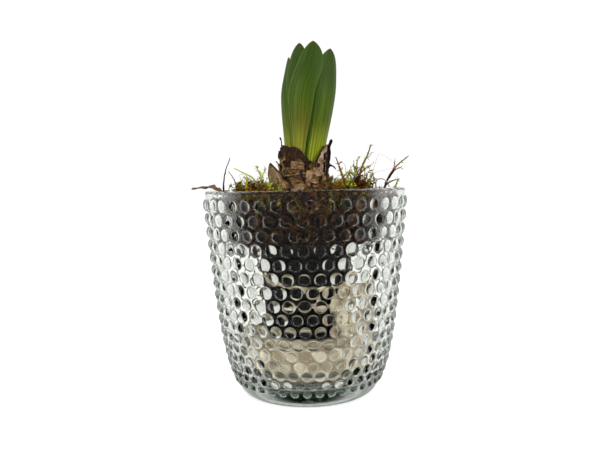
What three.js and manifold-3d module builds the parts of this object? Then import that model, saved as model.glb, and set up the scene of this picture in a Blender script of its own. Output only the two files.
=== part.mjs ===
// A potted hyacinth in bud: a papery bulb with six young leaves closed round its flower bud, in a
// small grow pot of peat that stands on crumpled paper in a hobnail glass vase, dressed with moss.
// Millimetres, +Z up, origin at the centre of the vase's foot. The front of the group faces -Y.
import * as THREE from "three";
import { mergeVertices } from "three/addons/utils/BufferGeometryUtils.js";
import Module from "manifold-3d";

const wasm = await Module();
wasm.setup();

const TAU = Math.PI * 2;
const GAP = 0.35; // air between pieces that rest on each other

// Driving dimensions
const VASE = {
  height: 138,
  footBase: 55.4, // radius that the wall's straight flare would have at the foot
  flare: 0.0905, // growth of the radius per millimetre of height
  belly: 10, // how far the wall curves in towards the foot
  bellyHeight: 23,
  heel: 3.2, // the tight curve at the foot itself
  heelHeight: 1.6,
  wall: 3.7,
  floor: 11,
  plainRim: 9.4, // smooth glass above the middle of the first row
  lastRow: 10, // no row is centred below this height
};
// Pitches and height are shares of the spacing round the vase; rows crowd together towards the foot.
const HOBNAILS = {
  perRow: 40,
  turn: 3.1,
  rowPitch: 0.86,
  footPitch: 0.77,
  closerFrom: 52,
  closestAt: 34,
  height: 0.25,
};
const POT = { topRadius: 31.5, footRadius: 28, bottom: 40.5, top: 99.5, wall: 1.4, lip: 1.6, lipDepth: 4 };
const BULB = { base: 88, cup: 146, neck: 161, widest: 28.4, clearance: 0.45 };
const CLUSTER = { lean: 0.088, leanFrom: 157 }; // the leaves lean towards +X as they rise
const LEAF = {
  base: BULB.cup + GAP,
  freeFrom: 150, // the blades spread between these two heights
  fullAt: 208,
  bellyAt: 0.66, // share of the length at which a blade is widest
  rib: 1.9,
  edge: 0.75,
};
const MOSS = { top: 137, bottom: 104.6, inner: 18, rest: 33.5, clumps: 5, parting: 0.7, shoots: 10 };

const COLOURS = {
  glass: [0xe9f1ee, 0.04, 0],
  paper: [0xd9cdb2, 0.85, 0],
  pot: [0x1d1d1c, 0.42, 0],
  peat: [0x2d1d12, 0.95, 0],
  bulb: [0x6e5236, 0.8, 0],
  leaf: [0x4f7a2a, 0.45, 0],
  bud: [0x6f8f3c, 0.5, 0],
  moss: [0x6d7a22, 0.9, 0],
  stem: [0x6b4526, 0.8, 0],
  dryLeaf: [0x8a6a44, 0.85, 0],
};

function material(name) {
  const [color, roughness, metalness] = COLOURS[name];
  const glass = name === "glass" ? { transparent: true, opacity: 0.35 } : {};
  return new THREE.MeshStandardMaterial({ color, roughness, metalness, ...glass });
}

// Small helpers ---------------------------------------------------------------

// A repeatable stream of numbers from 0 to 1.
function seeded(seed) {
  let state = seed >>> 0;
  return () => {
    state = (state + 0x6d2b79f5) >>> 0;
    let t = Math.imul(state ^ (state >>> 15), state | 1);
    t ^= t + Math.imul(t ^ (t >>> 7), t | 61);
    return ((t ^ (t >>> 14)) >>> 0) / 4294967296;
  };
}

const mix = (a, b, t) => a + (b - a) * t;
const radians = THREE.MathUtils.degToRad;
const smooth = THREE.MathUtils.smoothstep;
const polar = (r, angle, z) => new THREE.Vector3(r * Math.cos(angle), r * Math.sin(angle), z);

function geometryOf(points, faces) {
  const made = new THREE.BufferGeometry().setFromPoints(points);
  made.setIndex(faces.flat());
  return made;
}

// Two triangles for the cell between two rows of points, seen with a and b below, d and c above.
const cell = (a, b, c, d) => [
  [a, b, c],
  [a, c, d],
];

// The sides of a body through rings of points that run counterclockwise seen from the last ring.
function ringSides(rings) {
  const sides = rings[0].length;
  const faces = [];
  for (let k = 0; k + 1 < rings.length; k++) {
    for (let i = 0; i < sides; i++) {
      const j = (i + 1) % sides;
      faces.push(...cell(k * sides + i, k * sides + j, (k + 1) * sides + j, (k + 1) * sides + i));
    }
  }
  return faces;
}

// A closed round body: both ends are fans about their middle.
function ringBody(rings) {
  const sides = rings[0].length;
  const points = rings.flat();
  const faces = ringSides(rings);
  const middle = (ring) => ring.reduce((sum, p) => sum.add(p), new THREE.Vector3()).divideScalar(sides);
  const first = points.push(middle(rings[0])) - 1;
  const last = points.push(middle(rings.at(-1))) - 1;
  const top = (rings.length - 1) * sides;
  for (let i = 0; i < sides; i++) {
    const j = (i + 1) % sides;
    faces.push([first, j, i], [last, top + i, top + j]);
  }
  return geometryOf(points, faces);
}

// A closed slab: each ring lists one face's points, then the other's; the ends are ladders between them.
function slabBody(rings) {
  const sides = rings[0].length;
  const faces = ringSides(rings);
  const top = (rings.length - 1) * sides;
  for (let i = 0; i + 1 < sides / 2; i++) {
    const [j, across, beside] = [i + 1, sides - 2 - i, sides - 1 - i];
    faces.push(...cell(top + i, top + j, top + across, top + beside), ...cell(i, beside, across, j));
  }
  return geometryOf(rings.flat(), faces);
}

// A stalk of few sides along a curve through the given points, tapering to a point at the last.
function spike(through, thick, sides = 3, steps = 2) {
  const path = new THREE.CatmullRomCurve3(through);
  const frames = path.computeFrenetFrames(steps, false);
  const points = [];
  const faces = [];
  for (let k = 0; k < steps; k++) {
    const centre = path.getPointAt(k / steps);
    const radius = thick * (1 - 0.7 * (k / steps));
    for (let i = 0; i < sides; i++) {
      const angle = (i / sides) * TAU;
      const corner = centre.clone().addScaledVector(frames.normals[k], radius * Math.cos(angle));
      points.push(corner.addScaledVector(frames.binormals[k], radius * Math.sin(angle)));
    }
  }
  const tip = points.push(through.at(-1).clone()) - 1;
  for (let i = 0; i < sides; i++) {
    const j = (i + 1) % sides;
    for (let k = 0; k + 1 < steps; k++) {
      faces.push(...cell(k * sides + i, k * sides + j, (k + 1) * sides + j, (k + 1) * sides + i));
    }
    faces.push([(steps - 1) * sides + i, (steps - 1) * sides + j, tip]);
  }
  for (let i = 1; i + 1 < sides; i++) faces.push([0, i + 1, i]);
  return geometryOf(points, faces);
}

function solidOf(geometry) {
  const bare = geometry.clone();
  bare.deleteAttribute("normal");
  bare.deleteAttribute("uv");
  const merged = mergeVertices(bare, 1e-4);
  return new wasm.Manifold(
    new wasm.Mesh({
      numProp: 3,
      vertProperties: merged.attributes.position.array,
      triVerts: new Uint32Array(merged.index.array),
    }),
  );
}

function geometryFrom(solid) {
  const mesh = solid.getMesh();
  const made = new THREE.BufferGeometry();
  made.setAttribute("position", new THREE.BufferAttribute(mesh.vertProperties, mesh.numProp));
  made.setIndex(new THREE.BufferAttribute(mesh.triVerts, 1));
  return made;
}

// The largest body of a solid, without the loose scraps that a cut can leave.
const whole = (solid) => solid.decompose().reduce((a, b) => (a.volume() > b.volume() ? a : b));

const group = new THREE.Group();
const solids = []; // what stands already, so that later sprigs can keep clear of it

function place(name, finish, geometry) {
  const made = new THREE.Mesh(geometry, material(finish));
  made.name = name;
  group.add(made);
  solids.push(solidOf(geometry));
}

// Glass vase ------------------------------------------------------------------

function vaseRadius(z) {
  const bend = VASE.belly * Math.exp(-z / VASE.bellyHeight) + VASE.heel * Math.exp(-z / VASE.heelHeight);
  return VASE.footBase + VASE.flare * z - bend;
}

const spacingAt = (z) => (TAU * vaseRadius(z)) / HOBNAILS.perRow;

// How far below height z the next row of a hexagonal packing lies on the curved wall.
function rowDrop(z) {
  const slope = (vaseRadius(z + 0.5) - vaseRadius(z - 0.5)) / 1;
  const pitch = mix(HOBNAILS.footPitch, HOBNAILS.rowPitch, smooth(z, HOBNAILS.closestAt, HOBNAILS.closerFrom));
  return (pitch * spacingAt(z)) / Math.hypot(1, slope);
}

function hobnailRows() {
  const rows = [];
  for (let z = VASE.height - VASE.plainRim; z > VASE.lastRow; z -= rowDrop(z)) rows.push(z);
  return rows;
}

const innerRadius = (z) => vaseRadius(z) - VASE.wall;

// Each hobnail is a six-sided stud: one raised point, six corners that it shares with its neighbours.
function glassVase() {
  const steps = HOBNAILS.perRow * 2; // half spacings round the vase
  const points = [];
  const faces = [];
  const rings = new Map();

  function ring(key, z, parity, radius, lift = 0) {
    const slope = vaseRadius(z + 0.5) - vaseRadius(z - 0.5);
    const length = Math.hypot(1, slope);
    const first = points.length;
    for (let h = parity; h < steps; h += 2) {
      const angle = (h / steps) * TAU + radians(HOBNAILS.turn);
      points.push(polar(radius + lift / length, angle, z - (lift * slope) / length));
    }
    rings.set(key, { first, parity });
  }
  const at = (key, h) => {
    const { first, parity } = rings.get(key);
    return first + (((h - parity + steps) % steps) >> 1);
  };

  const rows = hobnailRows();
  const above = rows[0] + rowDrop(rows[0]);
  const heights = [above, ...rows];
  heights.push(rows.at(-1) - rowDrop(rows.at(-1)));
  // Rings of corners a third and two thirds of the way between rows; row k has parity k % 2.
  for (let k = 0; k < heights.length - 1; k++) {
    const low = mix(heights[k], heights[k + 1], 1 / 3);
    const lower = mix(heights[k], heights[k + 1], 2 / 3);
    ring(`third${k}`, low, k % 2, vaseRadius(low));
    ring(`twoThirds${k}`, lower, (k + 1) % 2, vaseRadius(lower));
  }
  rows.forEach((z, k) => {
    ring(`apex${k}`, z, k % 2, vaseRadius(z), HOBNAILS.height * spacingAt(z));
    for (let h = k % 2; h < steps; h += 2) {
      const corners = [
        at(`third${k}`, h),
        at(`twoThirds${k}`, h - 1),
        at(`third${k + 1}`, h - 1),
        at(`twoThirds${k + 1}`, h),
        at(`third${k + 1}`, h + 1),
        at(`twoThirds${k}`, h + 1),
      ];
      corners.forEach((corner, n) => faces.push([at(`apex${k}`, h), corner, corners[(n + 1) % 6]]));
    }
  });

  // From the studs' upper zigzag over the rim, down the inside to the floor, and back under the foot.
  const strip = (upper, lower, parity) => {
    for (let h = parity; h < steps; h += 2) {
      faces.push(...cell(at(lower, h), at(lower, h + 2), at(upper, h + 2), at(upper, h)));
    }
  };
  ring("band", VASE.height - 1.6, 0, vaseRadius(VASE.height) + 0.3);
  for (let h = 0; h < steps; h += 2) {
    const zig = [at("third0", h), at("twoThirds0", h + 1), at("third0", h + 2)];
    faces.push([at("band", h), zig[0], zig[1]], [at("band", h), zig[1], at("band", h + 2)]);
    faces.push([at("band", h + 2), zig[1], zig[2]]);
  }
  const inside = [
    ["lip", VASE.height, vaseRadius(VASE.height) - 0.8],
    ["mouth", VASE.height, innerRadius(VASE.height) + 0.7],
    ["throat", VASE.height - 1.4, innerRadius(VASE.height)],
    ["waist", 60, innerRadius(60)],
    ["low", 30, innerRadius(30)],
    ["corner", 17, innerRadius(17) - 0.8],
    ["cove", 12.6, innerRadius(17) - 3.4],
    ["floor", VASE.floor, innerRadius(17) - 7.5],
  ];
  let before = "band";
  for (const [key, z, radius] of inside) {
    ring(key, z, 0, radius);
    strip(key, before, 0);
    before = key;
  }
  const floorCentre = points.push(new THREE.Vector3(0, 0, VASE.floor)) - 1;
  for (let h = 0; h < steps; h += 2) faces.push([floorCentre, at("floor", h), at("floor", h + 2)]);

  const last = heights.length - 2; // the lower zigzag joins these two rings
  const parity = last % 2;
  ring("skirt", 5, parity, vaseRadius(5));
  ring("heel", 1.4, parity, vaseRadius(1.4));
  ring("foot", 0, parity, vaseRadius(0));
  for (let h = parity; h < steps; h += 2) {
    const zag = [at(`third${last}`, h), at(`twoThirds${last}`, h + 1), at(`third${last}`, h + 2)];
    faces.push([zag[0], at("skirt", h), zag[1]], [zag[1], at("skirt", h), at("skirt", h + 2)]);
    faces.push([zag[1], at("skirt", h + 2), zag[2]]);
  }
  strip("skirt", "heel", parity);
  strip("heel", "foot", parity);
  const footCentre = points.push(new THREE.Vector3()) - 1;
  for (let h = parity; h < steps; h += 2) faces.push([footCentre, at("foot", h + 2), at("foot", h)]);
  return geometryOf(points, faces);
}

// Grow pot, peat and paper ----------------------------------------------------

// A turned body from an outline of [radius, height] pairs that starts and ends on the axis.
function turned(outline, sides) {
  const made = new THREE.LatheGeometry(
    outline.map(([r, z]) => new THREE.Vector2(r, z)),
    sides,
  );
  return made.rotateX(Math.PI / 2);
}

const potRadius = (z) => mix(POT.footRadius, POT.topRadius, (z - POT.bottom) / (POT.top - POT.bottom));

function growPot() {
  const { bottom, top, wall, lip, lipDepth } = POT;
  return turned(
    [
      [0, bottom],
      [POT.footRadius - 1.5, bottom],
      [POT.footRadius, bottom + 1.5],
      [potRadius(top - lipDepth), top - lipDepth],
      [potRadius(top) + lip, top - lipDepth],
      [potRadius(top) + lip, top],
      [potRadius(top) - wall, top],
      [potRadius(bottom + wall) - wall, bottom + wall],
      [0, bottom + wall],
    ],
    26,
  );
}

function peatPlug(clearOfBulb) {
  const floor = POT.bottom + POT.wall + GAP;
  const inside = (z) => potRadius(z) - POT.wall - GAP;
  const plug = turned(
    [
      [0, floor],
      [inside(floor) - 0.3, floor],
      [inside(POT.top - 1), POT.top - 1],
      [29.2, 100.6],
      [MOSS.inner, MOSS.bottom - GAP],
      [0, MOSS.bottom + 1],
    ],
    24,
  );
  return geometryFrom(whole(solidOf(plug).subtract(clearOfBulb)));
}

// Low waves that make a crumpled or tufted surface, from -1 to 1.
function ruffle(angle, reach, phase) {
  const broad = Math.sin(3 * angle + reach / 9 + phase) + Math.sin(5 * angle - reach / 5 + 2 * phase);
  return 0.36 * broad + 0.28 * Math.sin(11 * angle + reach / 3 + 3 * phase);
}

// One crumpled sheet: a bed under the pot, a bank on the right and two folds across the front.
function paperBedding() {
  const sides = 30;
  const level = POT.bottom - GAP;
  const rim = (z, angle) => innerRadius(z) - 1.1 - 0.7 * Math.abs(ruffle(angle, z, 0.4));
  const ringAt = (radiusOf, heightOf) =>
    Array.from({ length: sides }, (_, i) => {
      const angle = (i / sides) * TAU;
      const z = heightOf(angle);
      return polar(radiusOf(angle, z), angle, z);
    });
  const bed = ringBody([
    ringAt((a) => 33 + ruffle(a, 9, 1), () => VASE.floor + GAP),
    ringAt((a, z) => Math.min(rim(z, a), 43), () => 15.5),
    ringAt((a, z) => rim(z, a) - 1, () => 21),
    ringAt((a, z) => rim(z, a), () => 29),
    ringAt((a, z) => rim(z, a) - 0.6, (a) => level + 1 + 2.6 * ruffle(a, 30, 2.2)),
    ringAt((a) => 38 + 2 * ruffle(a, 40, 0.7), (a) => level + 2.4 + 2 * ruffle(a, 12, 1.1)),
    ringAt(() => POT.footRadius + 1.6, () => level),
  ]);
  // Folds of the same sheet stand up beside the pot; each is [angle in degrees, height, radius, thickness].
  const folds = [
    [[-128, 86, 45, 5], [-112, 79, 45, 6], [-84, 76, 46, 5.5], [-58, 77, 45, 6], [-34, 74, 45, 8]],
    [[-112, 63, 43, 4], [-92, 66, 44, 5.5], [-70, 65, 43.5, 6], [-48, 70, 44, 6.5], [-32, 66, 44, 8]],
    [[-50, 34, 42, 8], [-36, 50, 43.5, 9], [-28, 66, 44, 9], [-22, 78, 45.5, 7]],
    [[-16, 34, 43, 8], [-8, 50, 44, 9], [-6, 66, 45, 8.5], [-14, 80, 46, 6]],
    [[12, 34, 42, 9], [18, 48, 43, 9], [20, 60, 45, 6]],
    [[196, 34, 43, 8], [204, 44, 44, 7.5], [214, 50, 45, 4.5]],
    [[110, 34, 42, 8], [122, 46, 43, 7], [134, 52, 44, 5]],
  ];
  let sheet = solidOf(bed);
  folds.forEach((fold, n) => {
    const through = fold.map(([angle, z, r]) => polar(r, radians(angle), z));
    const path = new THREE.CatmullRomCurve3(through);
    const steps = 2 * (fold.length - 1);
    const rings = [];
    for (let k = 0; k <= steps; k++) {
      const t = k / steps;
      const centre = path.getPoint(t);
      const along = path.getTangent(t);
      const out = new THREE.Vector3(centre.x, centre.y, 0).normalize();
      out.addScaledVector(along, -out.dot(along)).normalize();
      const side = new THREE.Vector3().crossVectors(along, out);
      const spot = t * (fold.length - 1);
      const next = Math.min(fold.length - 1, Math.ceil(spot));
      const size = mix(fold[Math.floor(spot)][3], fold[next][3], spot % 1);
      const puff = 1 + 0.22 * Math.sin(2.3 * k + n);
      rings.push(
        Array.from({ length: 5 }, (_, i) => {
          const angle = (i / 5) * TAU + 0.35 * Math.sin(1.7 * k + n);
          return centre
            .clone()
            .addScaledVector(out, 0.62 * size * puff * Math.cos(angle))
            .addScaledVector(side, 0.8 * size * puff * Math.sin(angle));
        }),
      );
    }
    sheet = sheet.add(solidOf(ringBody(rings)));
  });
  return geometryFrom(whole(sheet));
}

// Bulb ------------------------------------------------------------------------

// Outline of the bulb as [height, radius]; the steps are the edges of its papery coats.
const BULB_OUTLINE = [
  [BULB.base, 7],
  [90.5, 14],
  [95, 21.5],
  [102, 26.4],
  [112, BULB.widest],
  [122, 27.6],
  [130, 25.4],
  [136, 22.9],
  [136.6, 21.7],
  [142, 19.6],
  [142.5, 18.4],
  [149, 16.9],
  [149.6, 16.2],
  [155, 15.8],
];

// The collar's torn top edge: high on both sides, with a notch at the front.
function collarHeight(angle) {
  const notch = Math.exp(-(((angle - radians(288)) / 0.42) ** 2));
  const torn = 1.1 * Math.sin(7 * angle) + 0.7 * Math.sin(13 * angle + 1);
  return BULB.neck + 4.4 + torn + 2.2 * Math.cos(angle) - 9.6 * notch;
}

function bulbCoat(angle, z, grow = 0) {
  const at = BULB_OUTLINE.findIndex(([height]) => height >= z);
  const [z1, r1] = BULB_OUTLINE[Math.max(at, 1)];
  const [z0, r0] = BULB_OUTLINE[Math.max(at, 1) - 1];
  const ribs = 0.35 * Math.sin(9 * angle + z / 14) + 0.25 * Math.sin(5 * angle - z / 8);
  return mix(r0, r1, (z - z0) / (z1 - z0)) * (1 + grow) + ribs;
}

function bulbBody() {
  const sides = 24;
  const ringAt = (radiusOf, heightOf) =>
    Array.from({ length: sides }, (_, i) => {
      const angle = (i / sides) * TAU;
      const z = heightOf(angle);
      return polar(radiusOf(angle, z), angle, z);
    });
  const rings = BULB_OUTLINE.map(([z]) => ringAt((a) => bulbCoat(a, z), () => z));
  const wave = (a) => 0.3 * Math.sin(6 * a);
  rings.push(ringAt((a) => 16.7 + wave(a), (a) => collarHeight(a)));
  rings.push(ringAt((a) => 15.9 + wave(a), (a) => collarHeight(a) - 0.4));
  rings.push(ringAt(() => 14.8, () => BULB.cup));
  return ringBody(rings);
}

// Loose tongues of dry coat that stand off the bulb; each starts just inside the coat it grows from.
const COAT_TONGUES = [
  { angle: 215, root: 140.5, radius: 21.4, sink: 1.6, width: 16.5, length: 13.5, lean: 0.36, curl: 0.1 },
  { angle: 176, root: 153, radius: 16.2, sink: 0.6, width: 6, length: 8, lean: 0.75, curl: 1.4 },
  { angle: 168, root: 161, radius: 16.4, sink: 0.2, width: 5, length: 11.5, lean: 0.3, curl: -0.5 },
  { angle: 8, root: 161, radius: 16.4, sink: 0.2, width: 6.5, length: 11, lean: 0.22, curl: 0.5 },
  { angle: 320, root: 140.5, radius: 19.6, sink: 2.4, width: 12, length: 8, lean: 0.5, curl: 0.8 },
  { angle: 100, root: 140.5, radius: 20, sink: 2.4, width: 16, length: 13, lean: 0.4, curl: 0.6 },
  { angle: 50, root: 145, radius: 17.4, sink: 1.6, width: 12, length: 12, lean: 0.3, curl: 0.7 },
];

function coatTongue({ angle, root, radius, sink, width, length, lean, curl }) {
  const turn = radians(angle);
  const out = polar(1, turn, 0);
  const side = polar(1, turn + Math.PI / 2, 0);
  const steps = 3;
  const rings = [];
  let tilt = lean;
  const spine = out.clone().multiplyScalar(radius - sink).setZ(root - 2);
  for (let k = 0; k <= steps; k++) {
    const t = k / steps;
    const half = (width / 2) * Math.sqrt(Math.max(0, 1 - t ** 2.2)) + 0.35;
    const along = out.clone().multiplyScalar(Math.sin(tilt)).setZ(Math.cos(tilt));
    const face = out.clone().multiplyScalar(Math.cos(tilt)).setZ(-Math.sin(tilt));
    const corner = (s, f) => {
      const bow = (-0.5 * (s * half) ** 2) / radius;
      return spine.clone().addScaledVector(side, s * half).addScaledVector(face, f * 0.45 + bow);
    };
    rings.push([corner(0, 1), corner(1, 1), corner(1, -1), corner(0, -1), corner(-1, -1), corner(-1, 1)]);
    spine.addScaledVector(along, length / steps + (k === 0 ? 2 : 0));
    tilt += curl / steps;
  }
  return ringBody(rings);
}

function bulb() {
  let made = solidOf(bulbBody());
  for (const tongue of COAT_TONGUES) made = made.add(solidOf(coatTongue(tongue)));
  return geometryFrom(whole(made));
}

// A slightly larger copy of the bulb's outline, that peat and moss are cut back with.
function bulbClearance() {
  const floor = BULB.base - GAP - 0.3;
  const outline = BULB_OUTLINE.map(([z, r]) => [r + 0.62 + BULB.clearance, z === BULB.base ? floor : z]);
  return solidOf(turned([[0, floor], ...outline, [0, 156]], 26));
}

// Leaves ----------------------------------------------------------------------

const clusterAxis = (z) => CLUSTER.lean * Math.max(0, z - CLUSTER.leanFrom);

// The blades close round the bud like shells. Their middle lines lie at neck, belly and tip radius from the
// cluster's axis; wrap moves a blade out by so much for each degree clockwise, so that it covers the next one.
const LEAVES = [
  { name: "leaf_front_right", azimuth: -38, wrap: -0.035, neck: 11.2, belly: 16.8, tipRadius: 15.7 },
  { name: "leaf_front", azimuth: -108, wrap: 0, neck: 12.4, belly: 17.8, tipRadius: 14.5 },
  { name: "leaf_front_left", azimuth: -113, wrap: 0.055, neck: 10.2, belly: 15.4, tipRadius: 12 },
  { name: "leaf_back_left", azimuth: -176, wrap: 0.07, neck: 11, belly: 17.4, tipRadius: 15 },
  { name: "leaf_back", azimuth: -248, wrap: 0, neck: 10, belly: 14.9, tipRadius: 12 },
  { name: "leaf_back_right", azimuth: -327, wrap: -0.045, neck: 10.8, belly: 15.8, tipRadius: 13.2 },
];
// Height of the tip, half the greatest width, the share of that width at the foot, how blunt the tip's arch
// is, and by how many degrees the blade turns round the cluster between two shares of its length.
const BLADES = {
  leaf_front_right: { tip: 230.2, halfWidth: 12.4, foot: 0.8, arch: 2.9, turn: 0, turning: [0.6, 0.95] },
  leaf_front: { tip: 234.5, halfWidth: 9.3, foot: 0.44, arch: 3.8, turn: 21, turning: [0.57, 0.94] },
  leaf_front_left: { tip: 234.5, halfWidth: 6.6, foot: 0.5, arch: 5.2, turn: -19.5, turning: [0.45, 0.8] },
  leaf_back_left: { tip: 226.6, halfWidth: 11.5, foot: 0.8, arch: 2, turn: 3, turning: [0.6, 0.95] },
  leaf_back: { tip: 228, halfWidth: 12, foot: 0.85, arch: 2.2, turn: 0, turning: [0.6, 0.95] },
  leaf_back_right: { tip: 221, halfWidth: 11.5, foot: 0.85, arch: 2.2, turn: 0, turning: [0.6, 0.95] },
};

// Half width of a blade at a share v of its length: narrow foot, fullest above the middle, arched tip.
function bladeHalfWidth(v, { halfWidth, foot, arch }) {
  const rise = mix(foot, 1, smooth(v, 0.12, LEAF.bellyAt));
  const fall = (Math.max(0, v - LEAF.bellyAt) / (1 - LEAF.bellyAt)) ** arch;
  return halfWidth * (0.985 * rise * (1 - fall) + 0.015);
}

// Distance of a blade's middle line from the cluster's own axis.
function bladeReach(v, z, { neck, belly, tipRadius }) {
  const out = mix(neck, belly, smooth(z, LEAF.freeFrom, LEAF.fullAt));
  return out + (tipRadius - belly) * smooth(v, LEAF.bellyAt, 1.04);
}

function leaf(spec) {
  const blade = BLADES[spec.name];
  const across = 6;
  const along = 12;
  const rings = [];
  for (let k = 0; k <= along; k++) {
    const v = 1 - (1 - k / along) ** 1.45;
    const z = mix(LEAF.base, blade.tip, v);
    const reach = bladeReach(v, z, spec);
    const spread = bladeHalfWidth(v, blade) / reach;
    const azimuth = radians(spec.azimuth + blade.turn * smooth(v, ...blade.turning));
    const taper = mix(1, 0.45, v ** 4);
    const skin = (u, face) => {
      const thickness = mix(LEAF.edge, LEAF.rib, 1 - u * u) * taper;
      const radius = reach + spec.wrap * THREE.MathUtils.radToDeg(u * spread) + (face * thickness) / 2;
      const point = polar(radius, azimuth - u * spread, z);
      return point.setX(point.x + clusterAxis(z));
    };
    const ring = [];
    for (let i = 0; i <= across; i++) ring.push(skin(1 - (2 * i) / across, 1));
    for (let i = 0; i <= across; i++) ring.push(skin(-1 + (2 * i) / across, -1));
    rings.push(ring);
  }
  return slabBody(rings);
}

// Flower bud ------------------------------------------------------------------

// A short stalk with a spike of unopened florets in a spiral, hidden between the leaves.
function flowerBud() {
  const foot = BULB.cup + GAP;
  const lean = (p) => p.setX(p.x + clusterAxis(p.z));
  const outline = [[3.2, foot], [3.4, 160], [4.6, 168], [5.4, 182], [4.6, 196], [2.4, 207]];
  const rings = outline.map(([r, z]) =>
    Array.from({ length: 8 }, (_, i) => lean(polar(r, (i / 8) * TAU, z))),
  );
  let made = solidOf(ringBody(rings));
  const florets = 20;
  const goldenAngle = radians(137.5);
  for (let n = 0; n < florets; n++) {
    const t = n / (florets - 1);
    const z = mix(168, 205, t);
    const reach = mix(5.2, 1.6, t ** 1.6);
    const length = mix(5.4, 3.4, t);
    const floret = turned([[0, -length], [length * 0.4, -length * 0.1], [0, length]], 5);
    floret.rotateY(mix(0.5, 0.12, t)).rotateZ(n * goldenAngle);
    const seat = lean(polar(reach, n * goldenAngle, z));
    made = made.add(solidOf(floret.translate(seat.x, seat.y, seat.z)));
  }
  return geometryFrom(whole(made));
}

// Moss ------------------------------------------------------------------------

const mossTop = (angle, r) => MOSS.top + 2.2 * ruffle(angle, r, 0.3) - 4 * smooth(r, 50, 64);

// The underside rests on the peat and the pot's rim, and rises towards the glass.
function mossUnderside(angle, r) {
  const inward = (MOSS.rest - r) / (MOSS.rest - MOSS.inner);
  if (inward >= 0) return mix(POT.top + GAP + 0.1, MOSS.bottom, inward);
  return 99 + 8 * smooth(r, 30, 60) + 3.4 * ruffle(angle, r, 2.7);
}

// Where two clumps meet, as an angle that wanders with the distance from the middle.
function mossParting(n, r) {
  const width = TAU / MOSS.clumps;
  return n * width + 0.2 + 0.09 * Math.sin(r / 5 + 2 * (n % MOSS.clumps));
}

// One wedge of the moss ring, from beside the bulb to the glass.
function mossMat(n) {
  const across = 7;
  const reaches = [MOSS.inner, MOSS.rest, 42, 50, 57, 66];
  const air = MOSS.parting / 2;
  const rings = [];
  for (let k = 0; k <= across; k++) {
    const corner = (reach, heightAt) => {
      const start = mossParting(n, reach) + air / reach;
      const end = mossParting(n + 1, reach) - air / reach;
      const angle = mix(start, end, k / across);
      const z = heightAt(angle, reach);
      const edge = innerRadius(z) - GAP - 0.2 - 0.4 * Math.abs(ruffle(angle, z, 5));
      return polar(Math.min(reach, edge), angle, z);
    };
    const topSide = reaches.map((reach) => corner(reach, mossTop));
    const under = reaches.map((reach) => corner(reach, mossUnderside));
    rings.push([...topSide, ...under.reverse()]);
  }
  return slabBody(rings);
}

// A leafy shoot of moss: a short stem with spikes to both sides.
function mossShoot(root, aim, length, random) {
  const tip = root.clone().addScaledVector(aim, length);
  const bend = new THREE.Vector3(random() - 0.5, random() - 0.5, 0).multiplyScalar(0.35 * length);
  const elbow = root.clone().lerp(tip, 0.55).add(bend);
  let shoot = solidOf(spike([root, elbow, tip], 0.95));
  const spikes = length > 13 ? 2 : 1;
  for (let n = 0; n < spikes; n++) {
    const at = root.clone().lerp(elbow, 0.75).lerp(tip, n / (spikes + 0.6));
    const side = new THREE.Vector3(random() - 0.5, random() - 0.5, 0.3 + 0.3 * random()).normalize();
    const end = at.clone().addScaledVector(side, 3.5 + 3 * random());
    shoot = shoot.add(solidOf(spike([at, end], 0.65, 3, 1)));
  }
  return whole(shoot);
}

// Shoots grow from the mat's upper side wherever they keep clear of every other piece.
function mossClump(n, mats) {
  const random = seeded(700 + 31 * n);
  const others = [...solids, ...mats.filter((mat) => mat !== mats[n])];
  let clump = mats[n];
  for (let s = 0; s < MOSS.shoots; s++) {
    const r = mix(33, 56, Math.sqrt(random()));
    const angle = mix(mossParting(n, r) + 5 / r, mossParting(n + 1, r) - 5 / r, random());
    const root = polar(r, angle, mossTop(angle, r) - 3.5);
    const aim = polar(0.5 * (r - 44) / 12, angle + 0.9 * (random() - 0.5), 1.1).normalize();
    const shoot = mossShoot(root, aim, mix(9, 20, random() ** 1.6), random);
    if (others.every((other) => other.intersect(shoot).isEmpty())) clump = clump.add(shoot);
  }
  return geometryFrom(whole(clump));
}

// Dry stems and litter --------------------------------------------------------

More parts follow.
